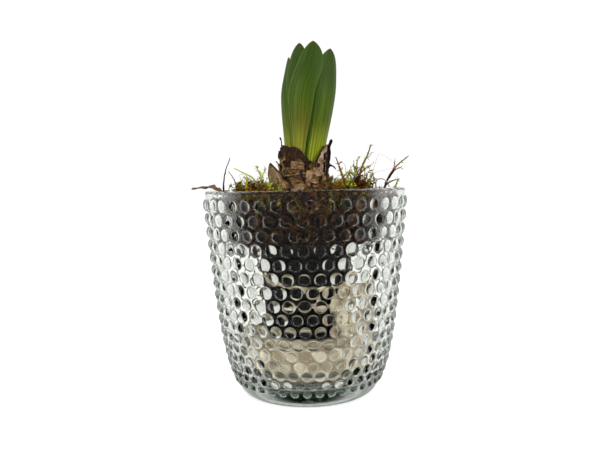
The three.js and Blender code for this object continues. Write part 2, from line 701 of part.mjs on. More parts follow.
// Each stem is a list of branches given by their points; the first branch is rooted in the moss.
const STEMS = {
  stem_right: [
    {
      points: [[50, -8, 126], [53, -9, 136], [57, -10, 146], [62.5, -11, 153], [69.5, -12, 158.5]],
      thick: 1.1,
    },
    { points: [[56, -10, 144], [60.5, -11.5, 149.5], [65, -12, 151.5]], thick: 0.7 },
    { points: [[54, -9.3, 139.5], [58.5, -8, 142], [62.5, -7, 143]], thick: 0.7 },
    { points: [[59.5, -10.4, 149.5], [60.5, -9, 154], [61, -8, 157.5]], thick: 0.6 },
  ],
  stem_tall: [
    {
      points: [[34, -20, 127], [35, -20.5, 138], [37, -21, 150], [41, -22, 159], [43.5, -22.5, 166]],
      thick: 1.2,
    },
    { points: [[35.6, -20.7, 143], [32.8, -21.5, 149], [32.3, -22, 156]], thick: 0.65 },
    { points: [[36.4, -20.9, 147.5], [40, -22.5, 151], [44.5, -23.5, 153.5]], thick: 0.65 },
    { points: [[39.4, -21.6, 156.5], [42.5, -20.5, 158.5], [44.5, -20, 161.5]], thick: 0.55 },
  ],
  stem_inner: [
    { points: [[27.5, -24.5, 130], [26.2, -25.5, 141], [22.6, -26.5, 152], [20.4, -27, 158]], thick: 1.15 },
    { points: [[25.5, -25.7, 143], [28.5, -27, 147.5], [30, -28, 153]], thick: 0.6 },
  ],
  stem_left: [
    { points: [[-53, -13, 128], [-54, -13, 139], [-52.6, -13.5, 150], [-48.8, -14, 160]], thick: 0.95 },
  ],
  stem_left_short: [
    { points: [[-43, -16, 128], [-44.6, -16.5, 138.5], [-46.4, -17, 145.5], [-50, -17.5, 151]], thick: 0.85 },
  ],
  stem_back: [
    { points: [[-12, 44, 127], [-14, 46, 139], [-18, 48, 150], [-20, 49, 157]], thick: 1.1 },
    { points: [[-15.4, 46.7, 143], [-12, 49, 148], [-10, 50.5, 152]], thick: 0.6 },
  ],
};

const stemPoints = (branch) => branch.points.map(([x, y, z]) => new THREE.Vector3(x, y, z));

function dryStem(branches) {
  return branches
    .map((branch, n) => solidOf(spike(stemPoints(branch), branch.thick, n ? 3 : 5, n ? 2 : 5)))
    .reduce((all, branch) => all.add(branch));
}

// The round hole that a stem stands in, a little wider than the stem.
const stemHole = ([trunk]) => solidOf(spike(stemPoints(trunk), trunk.thick + 0.5, 6, 5));

// A withered leaf lying over the rim on the left.
function dryLeaf() {
  const spine = new THREE.CatmullRomCurve3(
    [[-49, -5, 142.3], [-56, -4.6, 140.6], [-64, -4, 139.2], [-71, -3.4, 140.2], [-77, -3, 139.4]].map(
      ([x, y, z]) => new THREE.Vector3(x, y, z),
    ),
  );
  const steps = 8;
  const rings = [];
  for (let k = 0; k <= steps; k++) {
    const t = k / steps;
    const centre = spine.getPointAt(t);
    const half = 0.5 + 2.1 * Math.sin(Math.PI * t ** 0.85);
    const roll = 0.5 * Math.sin(5 * t);
    const side = new THREE.Vector3(0.12, Math.cos(roll), Math.sin(roll)).multiplyScalar(half);
    const up = new THREE.Vector3(0, -Math.sin(roll), Math.cos(roll)).multiplyScalar(0.35);
    const corner = (s, f) => centre.clone().addScaledVector(side, -s).addScaledVector(up, f);
    rings.push([corner(1, 1), corner(0, 2.4), corner(-1, 1), corner(-1, -1), corner(0, 0.2), corner(1, -1)]);
  }
  return slabBody(rings);
}

// The whole plant -------------------------------------------------------------

place("glass_vase", "glass", glassVase());
place("paper_bedding", "paper", paperBedding());
place("grow_pot", "pot", growPot());
const clearOfBulb = bulbClearance();
place("peat", "peat", peatPlug(clearOfBulb));
place("bulb", "bulb", bulb());
for (const spec of LEAVES) place(spec.name, "leaf", leaf(spec));
place("flower_bud", "bud", flowerBud());
place("dry_leaf", "dryLeaf", dryLeaf());
for (const [name, branches] of Object.entries(STEMS)) place(name, "stem", geometryFrom(dryStem(branches)));
const holes = Object.values(STEMS).reduce((all, stem) => all.add(stemHole(stem)), clearOfBulb);
const mats = Array.from({ length: MOSS.clumps }, (_, n) => whole(solidOf(mossMat(n)).subtract(holes)));
mats.forEach((_, n) => place(`moss_clump_${n + 1}`, "moss", mossClump(n, mats)));

export default group;
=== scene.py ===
import math
from collections import namedtuple

import bmesh
import bpy
import numpy as np
from mathutils import Matrix


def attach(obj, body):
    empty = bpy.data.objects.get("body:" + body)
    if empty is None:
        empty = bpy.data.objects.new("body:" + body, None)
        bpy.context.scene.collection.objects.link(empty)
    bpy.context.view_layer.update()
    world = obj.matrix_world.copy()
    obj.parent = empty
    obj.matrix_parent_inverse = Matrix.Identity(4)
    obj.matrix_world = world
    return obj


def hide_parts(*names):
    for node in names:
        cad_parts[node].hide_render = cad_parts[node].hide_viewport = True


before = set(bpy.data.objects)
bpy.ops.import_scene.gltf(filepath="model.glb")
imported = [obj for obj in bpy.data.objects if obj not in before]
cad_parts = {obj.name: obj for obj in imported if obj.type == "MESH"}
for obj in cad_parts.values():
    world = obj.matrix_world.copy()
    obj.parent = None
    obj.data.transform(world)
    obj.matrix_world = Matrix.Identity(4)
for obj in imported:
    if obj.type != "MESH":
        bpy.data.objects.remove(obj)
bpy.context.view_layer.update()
mm = 0.001  # every shape below is worked out in millimetres
turnAll = 2 * math.pi
print("frame loaded")


# Small helpers

def mix(a, b, t):
    return a + (b - a) * t


def smooth(x, low, high):
    t = np.clip((np.asarray(x, float) - low) / (high - low), 0, 1)
    return t * t * (3 - 2 * t)


def polar(r, angle, z):
    r, angle, z = np.broadcast_arrays(np.asarray(r, float), angle, z)
    return np.stack([r * np.cos(angle), r * np.sin(angle), z], axis=-1)


def spots(x, y, z):
    return np.stack(np.broadcast_arrays(x, y, z), axis=-1)


def unit(vectors):
    return vectors / np.maximum(np.linalg.norm(vectors, axis=-1, keepdims=True), 1e-9)


def softNoise(points, size, seed, octaves=3):  # smooth bumps from -1 to 1, about size apart
    rng = np.random.default_rng(seed)
    total, weight, height = 0, 0, 1.0
    for _ in range(octaves):
        aims = unit(rng.normal(size=(7, 3))) * (turnAll / size) * rng.uniform(0.7, 1.4, (7, 1))
        total = total + height * np.sin(points @ aims.T + rng.uniform(0, turnAll, 7)).sum(axis=-1) / 2.6
        weight += height
        height, size = height * 0.5, size / 2
    return total / weight


def creases(points, size, seed, count=7):  # straight folds with flat facets between them, 0 to 1
    rng = np.random.default_rng(seed)
    aims = unit(rng.normal(size=(count, 3))) / (size * rng.uniform(0.6, 1.7, (count, 1)))
    folds = np.abs((points @ aims.T + rng.uniform(0, 1, count)) % 1 * 2 - 1)
    return folds.mean(axis=-1)


def gridQuads(rows, columns):  # faces between rows of points that each close into a ring
    here = np.arange(columns)
    beside = (here + 1) % columns
    low = np.arange(rows - 1)[:, None] * columns
    high = low + columns
    return np.stack([low + here, low + beside, high + beside, high + here], axis=-1).reshape(-1, 4)


class Shape:  # points in millimetres with faces and per-point marks, gathered part by part
    def __init__(self, *marks):
        self.points, self.quads, self.tris = [], [], []
        self.marks = {name: [] for name in marks}
        self.count = 0

    def add(self, points, quads=(), tris=(), **marks):
        points = np.asarray(points, float).reshape(-1, 3)
        self.points.append(points)
        for faces, kept, corners in ((quads, self.quads, 4), (tris, self.tris, 3)):
            if len(faces):
                kept.append(np.asarray(faces, int).reshape(-1, corners) + self.count)
        for name, kept in self.marks.items():
            kept.append(np.broadcast_to(np.asarray(marks.get(name, 0), float).ravel(), len(points)))
        self.count += len(points)
        return self

    def sweep(self, profile, angles):  # a profile of (radius, height) turned round the middle
        rings = np.stack([polar(r, angles, z) for r, z in profile])
        return self.add(rings, gridQuads(len(profile), len(angles)))

    def body(self, rings, **marks):  # rings that run counterclockwise seen from the last, closed at both ends
        rows, columns = rings.shape[:2]
        points = np.vstack([rings.reshape(-1, 3), rings[0].mean(axis=0), rings[-1].mean(axis=0)])
        here, beside = np.arange(columns), (np.arange(columns) + 1) % columns
        top = (rows - 1) * columns
        first, last = np.full(columns, rows * columns), np.full(columns, rows * columns + 1)
        tris = np.vstack([np.stack([first, beside, here], 1), np.stack([last, top + here, top + beside], 1)])
        for name, value in marks.items():
            flat = np.broadcast_to(value, (rows, columns))
            marks[name] = np.concatenate([flat.ravel(), [flat[0].mean(), flat[-1].mean()]])
        return self.add(points, gridQuads(rows, columns), tris, **marks)


def meshOf(name, shape):
    points = np.vstack(shape.points) * mm
    quads = np.vstack(shape.quads) if shape.quads else np.zeros((0, 4), int)
    tris = np.vstack(shape.tris) if shape.tris else np.zeros((0, 3), int)
    mesh = bpy.data.meshes.new(name)
    mesh.vertices.add(len(points))
    mesh.vertices.foreach_set("co", points.ravel())
    corners = np.concatenate([quads.ravel(), tris.ravel()]).astype(np.int32)
    mesh.loops.add(len(corners))
    mesh.loops.foreach_set("vertex_index", corners)
    mesh.polygons.add(len(quads) + len(tris))
    starts = np.concatenate([np.arange(len(quads)) * 4, quads.size + np.arange(len(tris)) * 3])
    mesh.polygons.foreach_set("loop_start", starts.astype(np.int32))
    for mark, values in shape.marks.items():
        mesh.attributes.new(mark, "FLOAT", "POINT").data.foreach_set("value", np.concatenate(values))
    mesh.update(calc_edges=True)
    mesh.validate()
    return mesh


def piece(name, shape, finish, slot, *nodes, weld=None, crisp=None):
    mesh = meshOf(name, shape)
    if weld is not None:  # joins points closer than weld, and turns every face outward
        work = bmesh.new()
        work.from_mesh(mesh)
        bmesh.ops.remove_doubles(work, verts=work.verts, dist=weld * mm)
        bmesh.ops.recalc_face_normals(work, faces=work.faces)
        work.to_mesh(mesh)
        work.free()
    mesh.polygons.foreach_set("use_smooth", np.ones(len(mesh.polygons), bool))
    if crisp:
        mesh.set_sharp_from_angle(angle=math.radians(crisp))
    mesh.materials.append(finish)
    made = bpy.data.objects.new(name, mesh)
    bpy.context.scene.collection.objects.link(made)
    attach(made, "root")
    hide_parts(*nodes)
    print(f"{name}: {len(mesh.polygons)} faces")
    return made


# Camera, just above the rim and looking a little down

cameraLook = {"lens": 38.46, "place": (0, -440, 144.1), "pitchDown": 4.01, "pan": 0.49, "roll": 1.3}
camera = bpy.data.objects.new("camera", bpy.data.cameras.new("camera"))
camera.data.lens = cameraLook["lens"]
camera.data.sensor_width = 36
camera.data.clip_start = 0.01
facing = Matrix.Rotation(math.radians(cameraLook["pan"]), 4, "Z")
facing @= Matrix.Rotation(math.radians(90 - cameraLook["pitchDown"]), 4, "X")
facing @= Matrix.Rotation(math.radians(-cameraLook["roll"]), 4, "Z")
camera.matrix_world = Matrix.Translation([value * mm for value in cameraLook["place"]]) @ facing
bpy.context.scene.collection.objects.link(camera)
bpy.context.scene.camera = camera
print("camera placed")


# Materials: a short way to set nodes, then the effects that several of them share

def wire(tree, source, socket):  # sets a plain value, or links another node's output
    if isinstance(source, (int, float, tuple)):
        socket.default_value = source
    else:
        tree.links.new(source, socket)


def mathNode(tree, operation, *values):
    node = tree.nodes.new("ShaderNodeMath")
    node.operation = operation
    for value, socket in zip(values, node.inputs):
        wire(tree, value, socket)
    return node.outputs[0]


def noiseNode(tree, vector, scale, detail=3.0, roughness=0.55):
    node = tree.nodes.new("ShaderNodeTexNoise")
    for name, value in (("Vector", vector), ("Scale", scale), ("Detail", detail), ("Roughness", roughness)):
        wire(tree, value, node.inputs[name])
    return node.outputs["Fac"]


def rampNode(tree, factor, *stops):  # stops are (place, colour) or (place, value)
    node = tree.nodes.new("ShaderNodeValToRGB")
    for n, (place, value) in enumerate(stops):
        stop = node.color_ramp.elements[n] if n < 2 else node.color_ramp.elements.new(place)
        stop.position = place
        stop.color = (value, value, value, 1) if np.isscalar(value) else (*value, 1)
    wire(tree, factor, node.inputs[0])
    return node.outputs["Color"]


def blendNode(tree, factor, a, b, mode="MIX"):
    node = tree.nodes.new("ShaderNodeMix")
    node.data_type, node.blend_type = "RGBA", mode
    wire(tree, factor, node.inputs["Factor"])
    for name, value in (("A", a), ("B", b)):
        sockets = [socket for socket in node.inputs if socket.name == name and socket.type == "RGBA"]
        wire(tree, (*value, 1) if isinstance(value, tuple) and len(value) == 3 else value, sockets[0])
    return [socket for socket in node.outputs if socket.type == "RGBA"][0]


def markNode(tree, name):
    node = tree.nodes.new("ShaderNodeAttribute")
    node.attribute_name = name
    return node.outputs["Fac"]


def bumpNode(tree, height, strength, distance):
    node = tree.nodes.new("ShaderNodeBump")
    wire(tree, height, node.inputs["Height"])
    node.inputs["Strength"].default_value = strength
    node.inputs["Distance"].default_value = distance * mm
    return node.outputs["Normal"]


def placeNode(tree):  # where a point lies on its own object
    return tree.nodes.new("ShaderNodeTexCoord").outputs["Object"]


def dress(tree, shader, color, height, strength, distance, roughness=None):
    wire(tree, bumpNode(tree, height, strength, distance), shader.inputs["Normal"])
    for source, name in ((color, "Base Color"), (roughness, "Roughness")):
        if source is not None:
            wire(tree, source, shader.inputs[name])


def newFinish(name, color=(0.8, 0.8, 0.8), **values):
    finish = bpy.data.materials.new(name)
    finish.use_nodes = True
    tree = finish.node_tree
    shader = tree.nodes["Principled BSDF"]
    shader.inputs["Base Color"].default_value = (*color, 1)
    for socket, value in values.items():
        shader.inputs[socket.replace("_", " ")].default_value = value
    return finish, tree, shader


def newGroup(name, inputs, outputs):
    group = bpy.data.node_groups.new(name, "ShaderNodeTree")
    for way, sockets in (("INPUT", inputs), ("OUTPUT", outputs)):
        for label, kind in sockets:
            group.interface.new_socket(label, in_out=way, socket_type=kind)
    return group, group.nodes.new("NodeGroupInput").outputs, group.nodes.new("NodeGroupOutput").inputs


def useGroup(tree, group, **values):
    node = tree.nodes.new("ShaderNodeGroup")
    node.node_tree = group
    for name, value in values.items():
        wire(tree, value, node.inputs[name])
    return node.outputs


def makeMottle():  # dirt and shade: darkens a colour in broad patches and fine specks
    group, given, put = newGroup(
        "mottle",
        [("Color", "NodeSocketColor"), ("Vector", "NodeSocketVector"), ("Patch", "NodeSocketFloat"),
         ("Speck", "NodeSocketFloat"), ("Depth", "NodeSocketFloat")],
        [("Color", "NodeSocketColor"), ("Height", "NodeSocketFloat")],
    )
    broad = noiseNode(group, given["Vector"], given["Patch"], 4)
    fine = noiseNode(group, given["Vector"], given["Speck"], 3)
    both = mathNode(group, "MULTIPLY_ADD", fine, 0.45, mathNode(group, "MULTIPLY", broad, 0.55))
    mask = rampNode(group, both, (0.36, 1.0), (0.6, 0.0))
    amount = mathNode(group, "MULTIPLY", mask, given["Depth"])
    wire(group, blendNode(group, amount, given["Color"], (0.012, 0.008, 0.005)), put["Color"])
    wire(group, both, put["Height"])
    return group


def makeStreaks():  # fine lines along one direction, as in veins and dry fibres
    group, given, put = newGroup(
        "streaks",
        [("Across", "NodeSocketFloat"), ("Along", "NodeSocketFloat"), ("Count", "NodeSocketFloat"),
         ("Length", "NodeSocketFloat")],
        [("Line", "NodeSocketFloat"), ("Broad", "NodeSocketFloat")],
    )
    join = group.nodes.new("ShaderNodeCombineXYZ")
    wire(group, mathNode(group, "MULTIPLY", given["Across"], given["Count"]), join.inputs[0])
    wire(group, mathNode(group, "MULTIPLY", given["Along"], given["Length"]), join.inputs[1])
    wire(group, noiseNode(group, join.outputs[0], 1.0, 2, 0.6), put["Line"])
    wire(group, noiseNode(group, join.outputs[0], 0.23, 2, 0.5), put["Broad"])
    return group


mottle = makeMottle()
streaks = makeStreaks()
print("shared effects made")


# Glass vase: a hexagonal field of round hobnails, then the plain rim, inside and foot

vaseLook = {
    "height": 138, "footBase": 55.4, "flare": 0.0905, "wall": 3.7, "plainRim": 9.4,
    "belly": 10, "bellyHeight": 23, "heel": 3.2, "heelHeight": 1.6,
    "lastRow": 9, "perRow": 40, "turn": 3.1,  # the lowest row stands above lastRow
    "rowPitch": 0.86, "footPitch": 0.77, "closerBelow": (34, 52), "lastRowsShrink": (0.9, 0.8),
    "domeHeight": 0.25, "domeReach": 0.41, "domeCurve": 0.62, "domeSteps": (0.3, 0.56, 0.77, 0.92, 1.0, 1.09),
    "rimFoot": 135.2,
    "lipOutside": ((0.22, 1.7), (0.12, 0.9), (-0.3, 0.25), (-1.0, 0)),  # out from the outer face, down
    "lipInside": ((1.1, 0), (0.45, 0.2), (0.1, 0.8)),  # out from the inner face, down
    "innerHeights": (136.2, 132, 122, 110, 98, 86, 74, 62, 52, 43, 35, 28, 22.5),
    "cornerAt": 17, "corner": ((-0.1, 18.6), (1.1, 15.6), (3.2, 13), (6, 11.5), (10, 11)),  # inward, height
    "floor": ((18, 10.8), (6, 10.8), (0, 10.8)),  # radius, height
    "footHeights": (5.2, 3.4, 2, 1.1, 0.45), "footEdge": ((0.5, 0.05), (1.6, 0)),  # inward, height
    "footHollow": ((38, 0), (36.6, 0.7), (30, 1.3), (6, 1.5), (0, 1.5)),  # radius, height
    "tint": (1, 1, 0.97), "ior": 1.42, "gloss": 0.4, "depthTint": (0.72, 0.755, 0.725), "depth": 72.0,
    "waver": 90.0, "waverStrength": 0.12, "waverDepth": 0.6,
}
halfSteps = vaseLook["perRow"] * 2  # every second row is turned by one of these
edgeSteps = 3  # points along each side of a hobnail's six-sided patch


def vaseRadius(z):
    look = vaseLook
    bend = look["belly"] * np.exp(-z / look["bellyHeight"]) + look["heel"] * np.exp(-z / look["heelHeight"])
    return look["footBase"] + look["flare"] * z - bend


def innerRadius(z):
    return vaseRadius(z) - vaseLook["wall"]


def vaseSlope(z):
    return vaseRadius(z + 0.5) - vaseRadius(z - 0.5)


def hobnailRows():
    rows, z = [], vaseLook["height"] - vaseLook["plainRim"]
    while z > vaseLook["lastRow"]:
        rows.append(float(z))
        pitch = mix(vaseLook["footPitch"], vaseLook["rowPitch"], smooth(z, *vaseLook["closerBelow"]))
        z -= pitch * turnAll * vaseRadius(z) / vaseLook["perRow"] / np.hypot(1, vaseSlope(z))
    return rows, float(z)


def hobnail(z, corners, shrink):  # one dome in its six-sided patch: radii, angles and heights
    look = vaseLook
    share = (np.arange(edgeSteps) / edgeSteps)[:, None]
    edge = mix(corners[:, None], np.roll(corners, -1, axis=0)[:, None], share).reshape(-1, 2)
    radius, length = vaseRadius(z), np.hypot(1, vaseSlope(z))
    spacing = turnAll * radius / look["perRow"]
    reach = look["domeReach"] * spacing * shrink
    flat = np.stack([edge[:, 0] / halfSteps * turnAll * radius, (edge[:, 1] - z) * length], axis=1)
    aim = flat / np.linalg.norm(flat, axis=1, keepdims=True)
    dome = np.vstack([np.zeros((1, 2))] + [aim * reach * step for step in look["domeSteps"]])
    inward = np.clip(1 - (np.linalg.norm(dome, axis=1) / reach) ** 2, 0, 1)
    lift = look["domeHeight"] * spacing * shrink * inward ** look["domeCurve"]
    lift = np.concatenate([lift, np.zeros(len(edge))])
    angles = np.concatenate([dome[:, 0] / radius, edge[:, 0] / halfSteps * turnAll])
    level = np.concatenate([z + dome[:, 1] / length, edge[:, 1]])
    slopes = vaseSlope(level)
    steep = np.hypot(1, slopes)
    return vaseRadius(level) + lift / steep, angles, level - lift * slopes / steep


def addHobnails(shape, rows, third, twoThirds):
    look = vaseLook
    ring = np.arange(6 * edgeSteps)
    tris = np.stack([0 * ring, 1 + ring, 1 + (ring + 1) % len(ring)], axis=1)
    quads = gridQuads(len(look["domeSteps"]) + 1, len(ring)) + 1
    shrinks = [1] * (len(rows) - 2) + list(look["lastRowsShrink"])
    for k, z in enumerate(rows):
        corners = np.array([(0, third[k]), (-1, twoThirds[k]), (-1, third[k + 1]), (0, twoThirds[k + 1]),
                            (1, third[k + 1]), (1, twoThirds[k])])
        radii, angles, level = hobnail(z, corners, shrinks[k])
        for n in range(look["perRow"]):
            turn = (2 * n + k % 2) / halfSteps * turnAll + math.radians(look["turn"])
            shape.add(polar(radii, angles + turn, level), quads, tris)


def clearGlass():
    look = vaseLook
    finish, tree, shader = newFinish(
        "clearGlass", look["tint"], Roughness=0.0, IOR=look["ior"], Transmission_Weight=1.0,
        Specular_Tint=(look["gloss"], look["gloss"], look["gloss"], 1))
    inGlass = tree.nodes.new("ShaderNodeVolumeAbsorption")  # thick glass looks grey-green
    inGlass.inputs["Color"].default_value = (*look["depthTint"], 1)
    inGlass.inputs["Density"].default_value = look["depth"]
    tree.links.new(inGlass.outputs[0], tree.nodes["Material Output"].inputs["Volume"])
    waver = noiseNode(tree, placeNode(tree), look["waver"], 2)
    dress(tree, shader, None, waver, look["waverStrength"], look["waverDepth"])
    return finish


def glassVase():
    look = vaseLook
    rows, below = hobnailRows()
    heights = [2 * rows[0] - rows[1], *rows, below]
    third = [mix(a, b, 1 / 3) for a, b in zip(heights, heights[1:])]
    twoThirds = [mix(a, b, 2 / 3) for a, b in zip(heights, heights[1:])]
    shape = Shape()
    addHobnails(shape, rows, third, twoThirds)
    columns = halfSteps * edgeSteps
    around = np.arange(columns) / columns * turnAll + math.radians(look["turn"])
    saw = np.abs(np.arange(columns) / edgeSteps % 2 - 1)  # 1 over the first row's middles, 0 between them
    height, last = look["height"], len(rows)
    top, inside, corner = vaseRadius(height), innerRadius(height), innerRadius(look["cornerAt"])
    profile = [(vaseRadius(z), z) for z in (mix(twoThirds[0], third[0], saw), look["rimFoot"])]
    profile += [(top + out, height - down) for out, down in look["lipOutside"]]
    profile += [(inside + out, height - down) for out, down in look["lipInside"]]
    profile += [(innerRadius(z), z) for z in look["innerHeights"]]
    profile += [(corner - inward, z) for inward, z in look["corner"]]
    shape.sweep([*profile, *look["floor"]], around)
    lowSaw = saw if last % 2 == 0 else 1 - saw
    profile = [(vaseRadius(z), z) for z in (mix(twoThirds[last], third[last], lowSaw), *look["footHeights"])]
    profile += [(vaseRadius(0) - inward, z) for inward, z in look["footEdge"]]
    shape.sweep([*profile, *look["footHollow"]], around)
    return piece("hobnailVase", shape, clearGlass(), "glass", "glass_vase", weld=0.01)


glassVase()


# Shared shapes: curves, tubes, slabs and small leaves

def curveThrough(points, count):  # a smooth curve through the given points
    points = np.asarray(points, float)
    padded = np.vstack([2 * points[0] - points[1], points, 2 * points[-1] - points[-2]])
    place = np.linspace(0, len(points) - 1 - 1e-6, count)
    n, t = place.astype(int), (place % 1)[:, None]
    a, b, c, d = (padded[n + k] for k in range(4))
    return 0.5 * (2 * b + (c - a) * t + (2 * a - 5 * b + 4 * c - d) * t**2 + (3 * b - a - 3 * c + d) * t**3)


def across(tangents):  # two directions square to each tangent
    side = unit(np.cross(tangents, (0.31, 0.22, 0.93)))
    return side, np.cross(tangents, side)


def addTubes(shape, spines, radii, sides, flat=1.0, **marks):  # one spine or many, each with its own radii
    spines = np.asarray(spines, float)
    if spines.ndim == 2:
        spines = spines[None]
    many, steps = spines.shape[:2]
    radii = np.broadcast_to(radii, (many, steps))
    tangents = unit(np.gradient(spines, axis=1))
    n, b = across(tangents)
    turn = np.arange(sides) / sides * turnAll
    rim = n[:, :, None] * np.cos(turn)[:, None] + b[:, :, None] * np.sin(turn)[:, None] * flat
    points = spines[:, :, None] + radii[:, :, None, None] * rim
    i = np.arange(1, sides - 1)
    top = (steps - 1) * sides
    tris = np.vstack([np.stack([0 * i, i + 1, i], 1), np.stack([top + 0 * i, top + i, top + i + 1], 1)])
    jump = np.arange(many)[:, None, None] * steps * sides
    quads = (gridQuads(steps, sides) + jump).reshape(-1, 4)
    shape.add(points, quads, (tris + jump).reshape(-1, 3), **{
        name: np.broadcast_to(value, (many, steps)).repeat(sides) for name, value in marks.items()})


def addLeaflets(shape, bases, aims, ups, lengths, widths, **marks):  # small keeled leaves, each a closed body
    aims = unit(aims)
    normal = unit(ups - aims * (ups * aims).sum(axis=-1, keepdims=True))
    side = np.cross(normal, aims)
    lengths, widths = np.asarray(lengths)[:, None], np.asarray(widths)[:, None]
    waist = bases + 0.42 * lengths * aims
    tip = bases + lengths * aims - 0.16 * lengths * normal
    points = np.stack([bases, waist + side * widths / 2, waist - side * widths / 2, tip,
                       waist + normal * widths * 0.3], axis=1)
    faces = np.array([(0, 2, 4), (0, 4, 1), (2, 3, 4), (4, 3, 1), (0, 1, 2), (1, 3, 2)])
    tris = (faces + np.arange(len(points))[:, None, None] * 5).reshape(-1, 3)
    shape.add(points, tris=tris, **{name: np.repeat(np.broadcast_to(value, len(points)), 5)
                                    for name, value in marks.items()})


def addSlab(shape, outer, inner, **marks):  # two skins of the same grid with closed margins
    rows, columns = outer.shape[:2]
    rings = np.concatenate([outer, inner[:, ::-1]], axis=1)
    near = np.arange(columns - 1)
    far = 2 * columns - 1 - near
    end = (rows - 1) * 2 * columns
    foot = np.stack([near, far, far - 1, near + 1], 1)
    head = end + np.stack([near, near + 1, far - 1, far], 1)
    for name, value in marks.items():
        skin = np.broadcast_to(value, (rows, columns))
        marks[name] = np.concatenate([skin, skin[:, ::-1]], axis=1)
    shape.add(rings, np.vstack([gridQuads(rows, 2 * columns), foot, head]), **marks)


def ruffle(angle, reach, phase):
    broad = np.sin(3 * angle + reach / 9 + phase) + np.sin(5 * angle - reach / 5 + 2 * phase)
    return 0.36 * broad + 0.28 * np.sin(11 * angle + reach / 3 + 3 * phase)


def finerCopy(node, voxel):  # a node's own shape with even small faces
    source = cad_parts[node]
    copy = bpy.data.objects.new("working", source.data.copy())
    bpy.context.scene.collection.objects.link(copy)
    remesh = copy.modifiers.new("remesh", "REMESH")
    remesh.mode, remesh.voxel_size = "VOXEL", voxel * mm
    made = bpy.data.meshes.new_from_object(copy.evaluated_get(bpy.context.evaluated_depsgraph_get()))
    bpy.data.objects.remove(copy)
    made.materials.clear()
    return made


def readMesh(mesh):  # points, normals and the four corners of each face
    points, normals = np.empty(len(mesh.vertices) * 3), np.empty(len(mesh.vertices) * 3)
    corners = np.empty(len(mesh.loops), int)
    mesh.vertices.foreach_get("co", points)
    mesh.vertices.foreach_get("normal", normals)
    mesh.loops.foreach_get("vertex_index", corners)
    return points.reshape(-1, 3) / mm, normals.reshape(-1, 3), corners.reshape(-1, 4)


# Crumpled paper under and in front of the pot

paperLook = {
    "voxel": 1.15, "fold": 10.0, "foldDepth": 5.6, "crinkle": 4.2, "crinkleDepth": 2.4, "underPot": (30, 34),
    "standing": (-70, -46), "standingFoot": 42, "standingTop": 74, "standingReach": 44, "pleats": 1.7,
    "pleatDepth": 9, "creaseDepth": 3.2, "thick": 1.0,
    # the third colour is painted shade for the crease and pleat valleys
    "color": (0.97, 0.90, 0.75), "shade": (0.84, 0.75, 0.58), "valley": (0.26, 0.18, 0.09),
}


def addStandingFold(shape):  # a pleated end of the sheet in front of the pot, on the right
    look = paperLook
    v, u = np.linspace(0, 1, 44)[:, None], np.linspace(0, 1, 34)[None, :]
    angle = np.radians(mix(*look["standing"], u) + 3 * np.sin(5 * v + 1) + 4 * v * (0.5 - u))
    pleat = np.abs((u * 2 * look["pleats"] + 0.5 * np.sin(4 * v)) % 2 - 1)
    torn = 4 * softNoise(polar(24 * u, 0, 0), 5, 14)[:1]
    top = look["standingTop"] + 14 * (pleat[:1] - 0.6) - 6 * u + torn
    z = mix(look["standingFoot"], top, v)
    flat = polar(45, angle, z)
    sunk = creases(flat, 7, 15)
    r = look["standingReach"] + look["pleatDepth"] * (pleat - 0.5) - look["creaseDepth"] * sunk
    r = r + 1.6 * softNoise(flat, 5, 16)
    # painted shade: the pleat and crease valleys are marked to be darkened
    valley = np.maximum(0.8 * smooth(sunk, 0.3, 0.75), 1 - smooth(pleat, 0.1, 0.55))
    half = look["thick"] / 2
    addSlab(shape, polar(r + half, angle, z), polar(r - half, angle, z), valley=valley)


def creamPaper():
    look = paperLook
    finish, tree, shader = newFinish("creamPaper", Roughness=0.82)
    place = placeNode(tree)
    grain = noiseNode(tree, place, 1500, 3)
    cloud = noiseNode(tree, place, 60, 4)
    color = blendNode(tree, rampNode(tree, cloud, (0.32, 1.0), (0.62, 0.0)), look["color"], look["shade"])
    # painted shade: the paper is darker in its crease and pleat valleys
    color = blendNode(tree, mathNode(tree, "MULTIPLY", markNode(tree, "valley"), 0.8), color, look["valley"])
    color = useGroup(tree, mottle, Color=color, Vector=place, Patch=45.0, Speck=900.0, Depth=0.2)["Color"]
    dress(tree, shader, color, mathNode(tree, "MULTIPLY_ADD", cloud, 2.0, grain), 0.3, 0.25)
    return finish


def paperBedding():
    look = paperLook
    points, normals, corners = readMesh(finerCopy("paper_bedding", look["voxel"]))
    sunk = look["foldDepth"] * creases(points, look["fold"], 11) + look["crinkleDepth"] * creases(
        points, look["crinkle"], 12) - 0.45
    beyondPot = smooth(np.hypot(points[:, 0], points[:, 1]), *look["underPot"])  # flat under the pot
    sunk = sunk * mix(0.35, 1, beyondPot) - 0.05 * (1 - beyondPot)
    shape = Shape("valley")
    # painted shade: the deeper creases are marked to be darkened
    shape.add(points - normals * np.maximum(sunk, -0.3)[:, None], corners, valley=smooth(sunk, 2.2, 4.2))
    addStandingFold(shape)
    return piece("crumpledPaper", shape, creamPaper(), "paper", "paper_bedding", crisp=24)


paperBedding()


# Grow pot: thin black plastic with flutes and a rolled lip

potLook = {
    "top": 99.5, "bottom": 40.5, "topRadius": 31.5, "footRadius": 28, "wall": 1.4, "lip": 1.6, "lipDepth": 4,
    "flutes": 24, "fluteDepth": 0.45, "fluteFoot": (44, 48), "fluteTop": (88, 91), "sides": 192,
    "outerHeights": (42.5, 44, 45.5, 47, 50, 56, 62, 68, 74, 80, 86, 88.5, 90, 91.5, 94),
    "innerHeights": (92, 84, 70, 56, 46), "color": (0.0018, 0.0018, 0.002), "dust": (0.02, 0.016, 0.012),
}


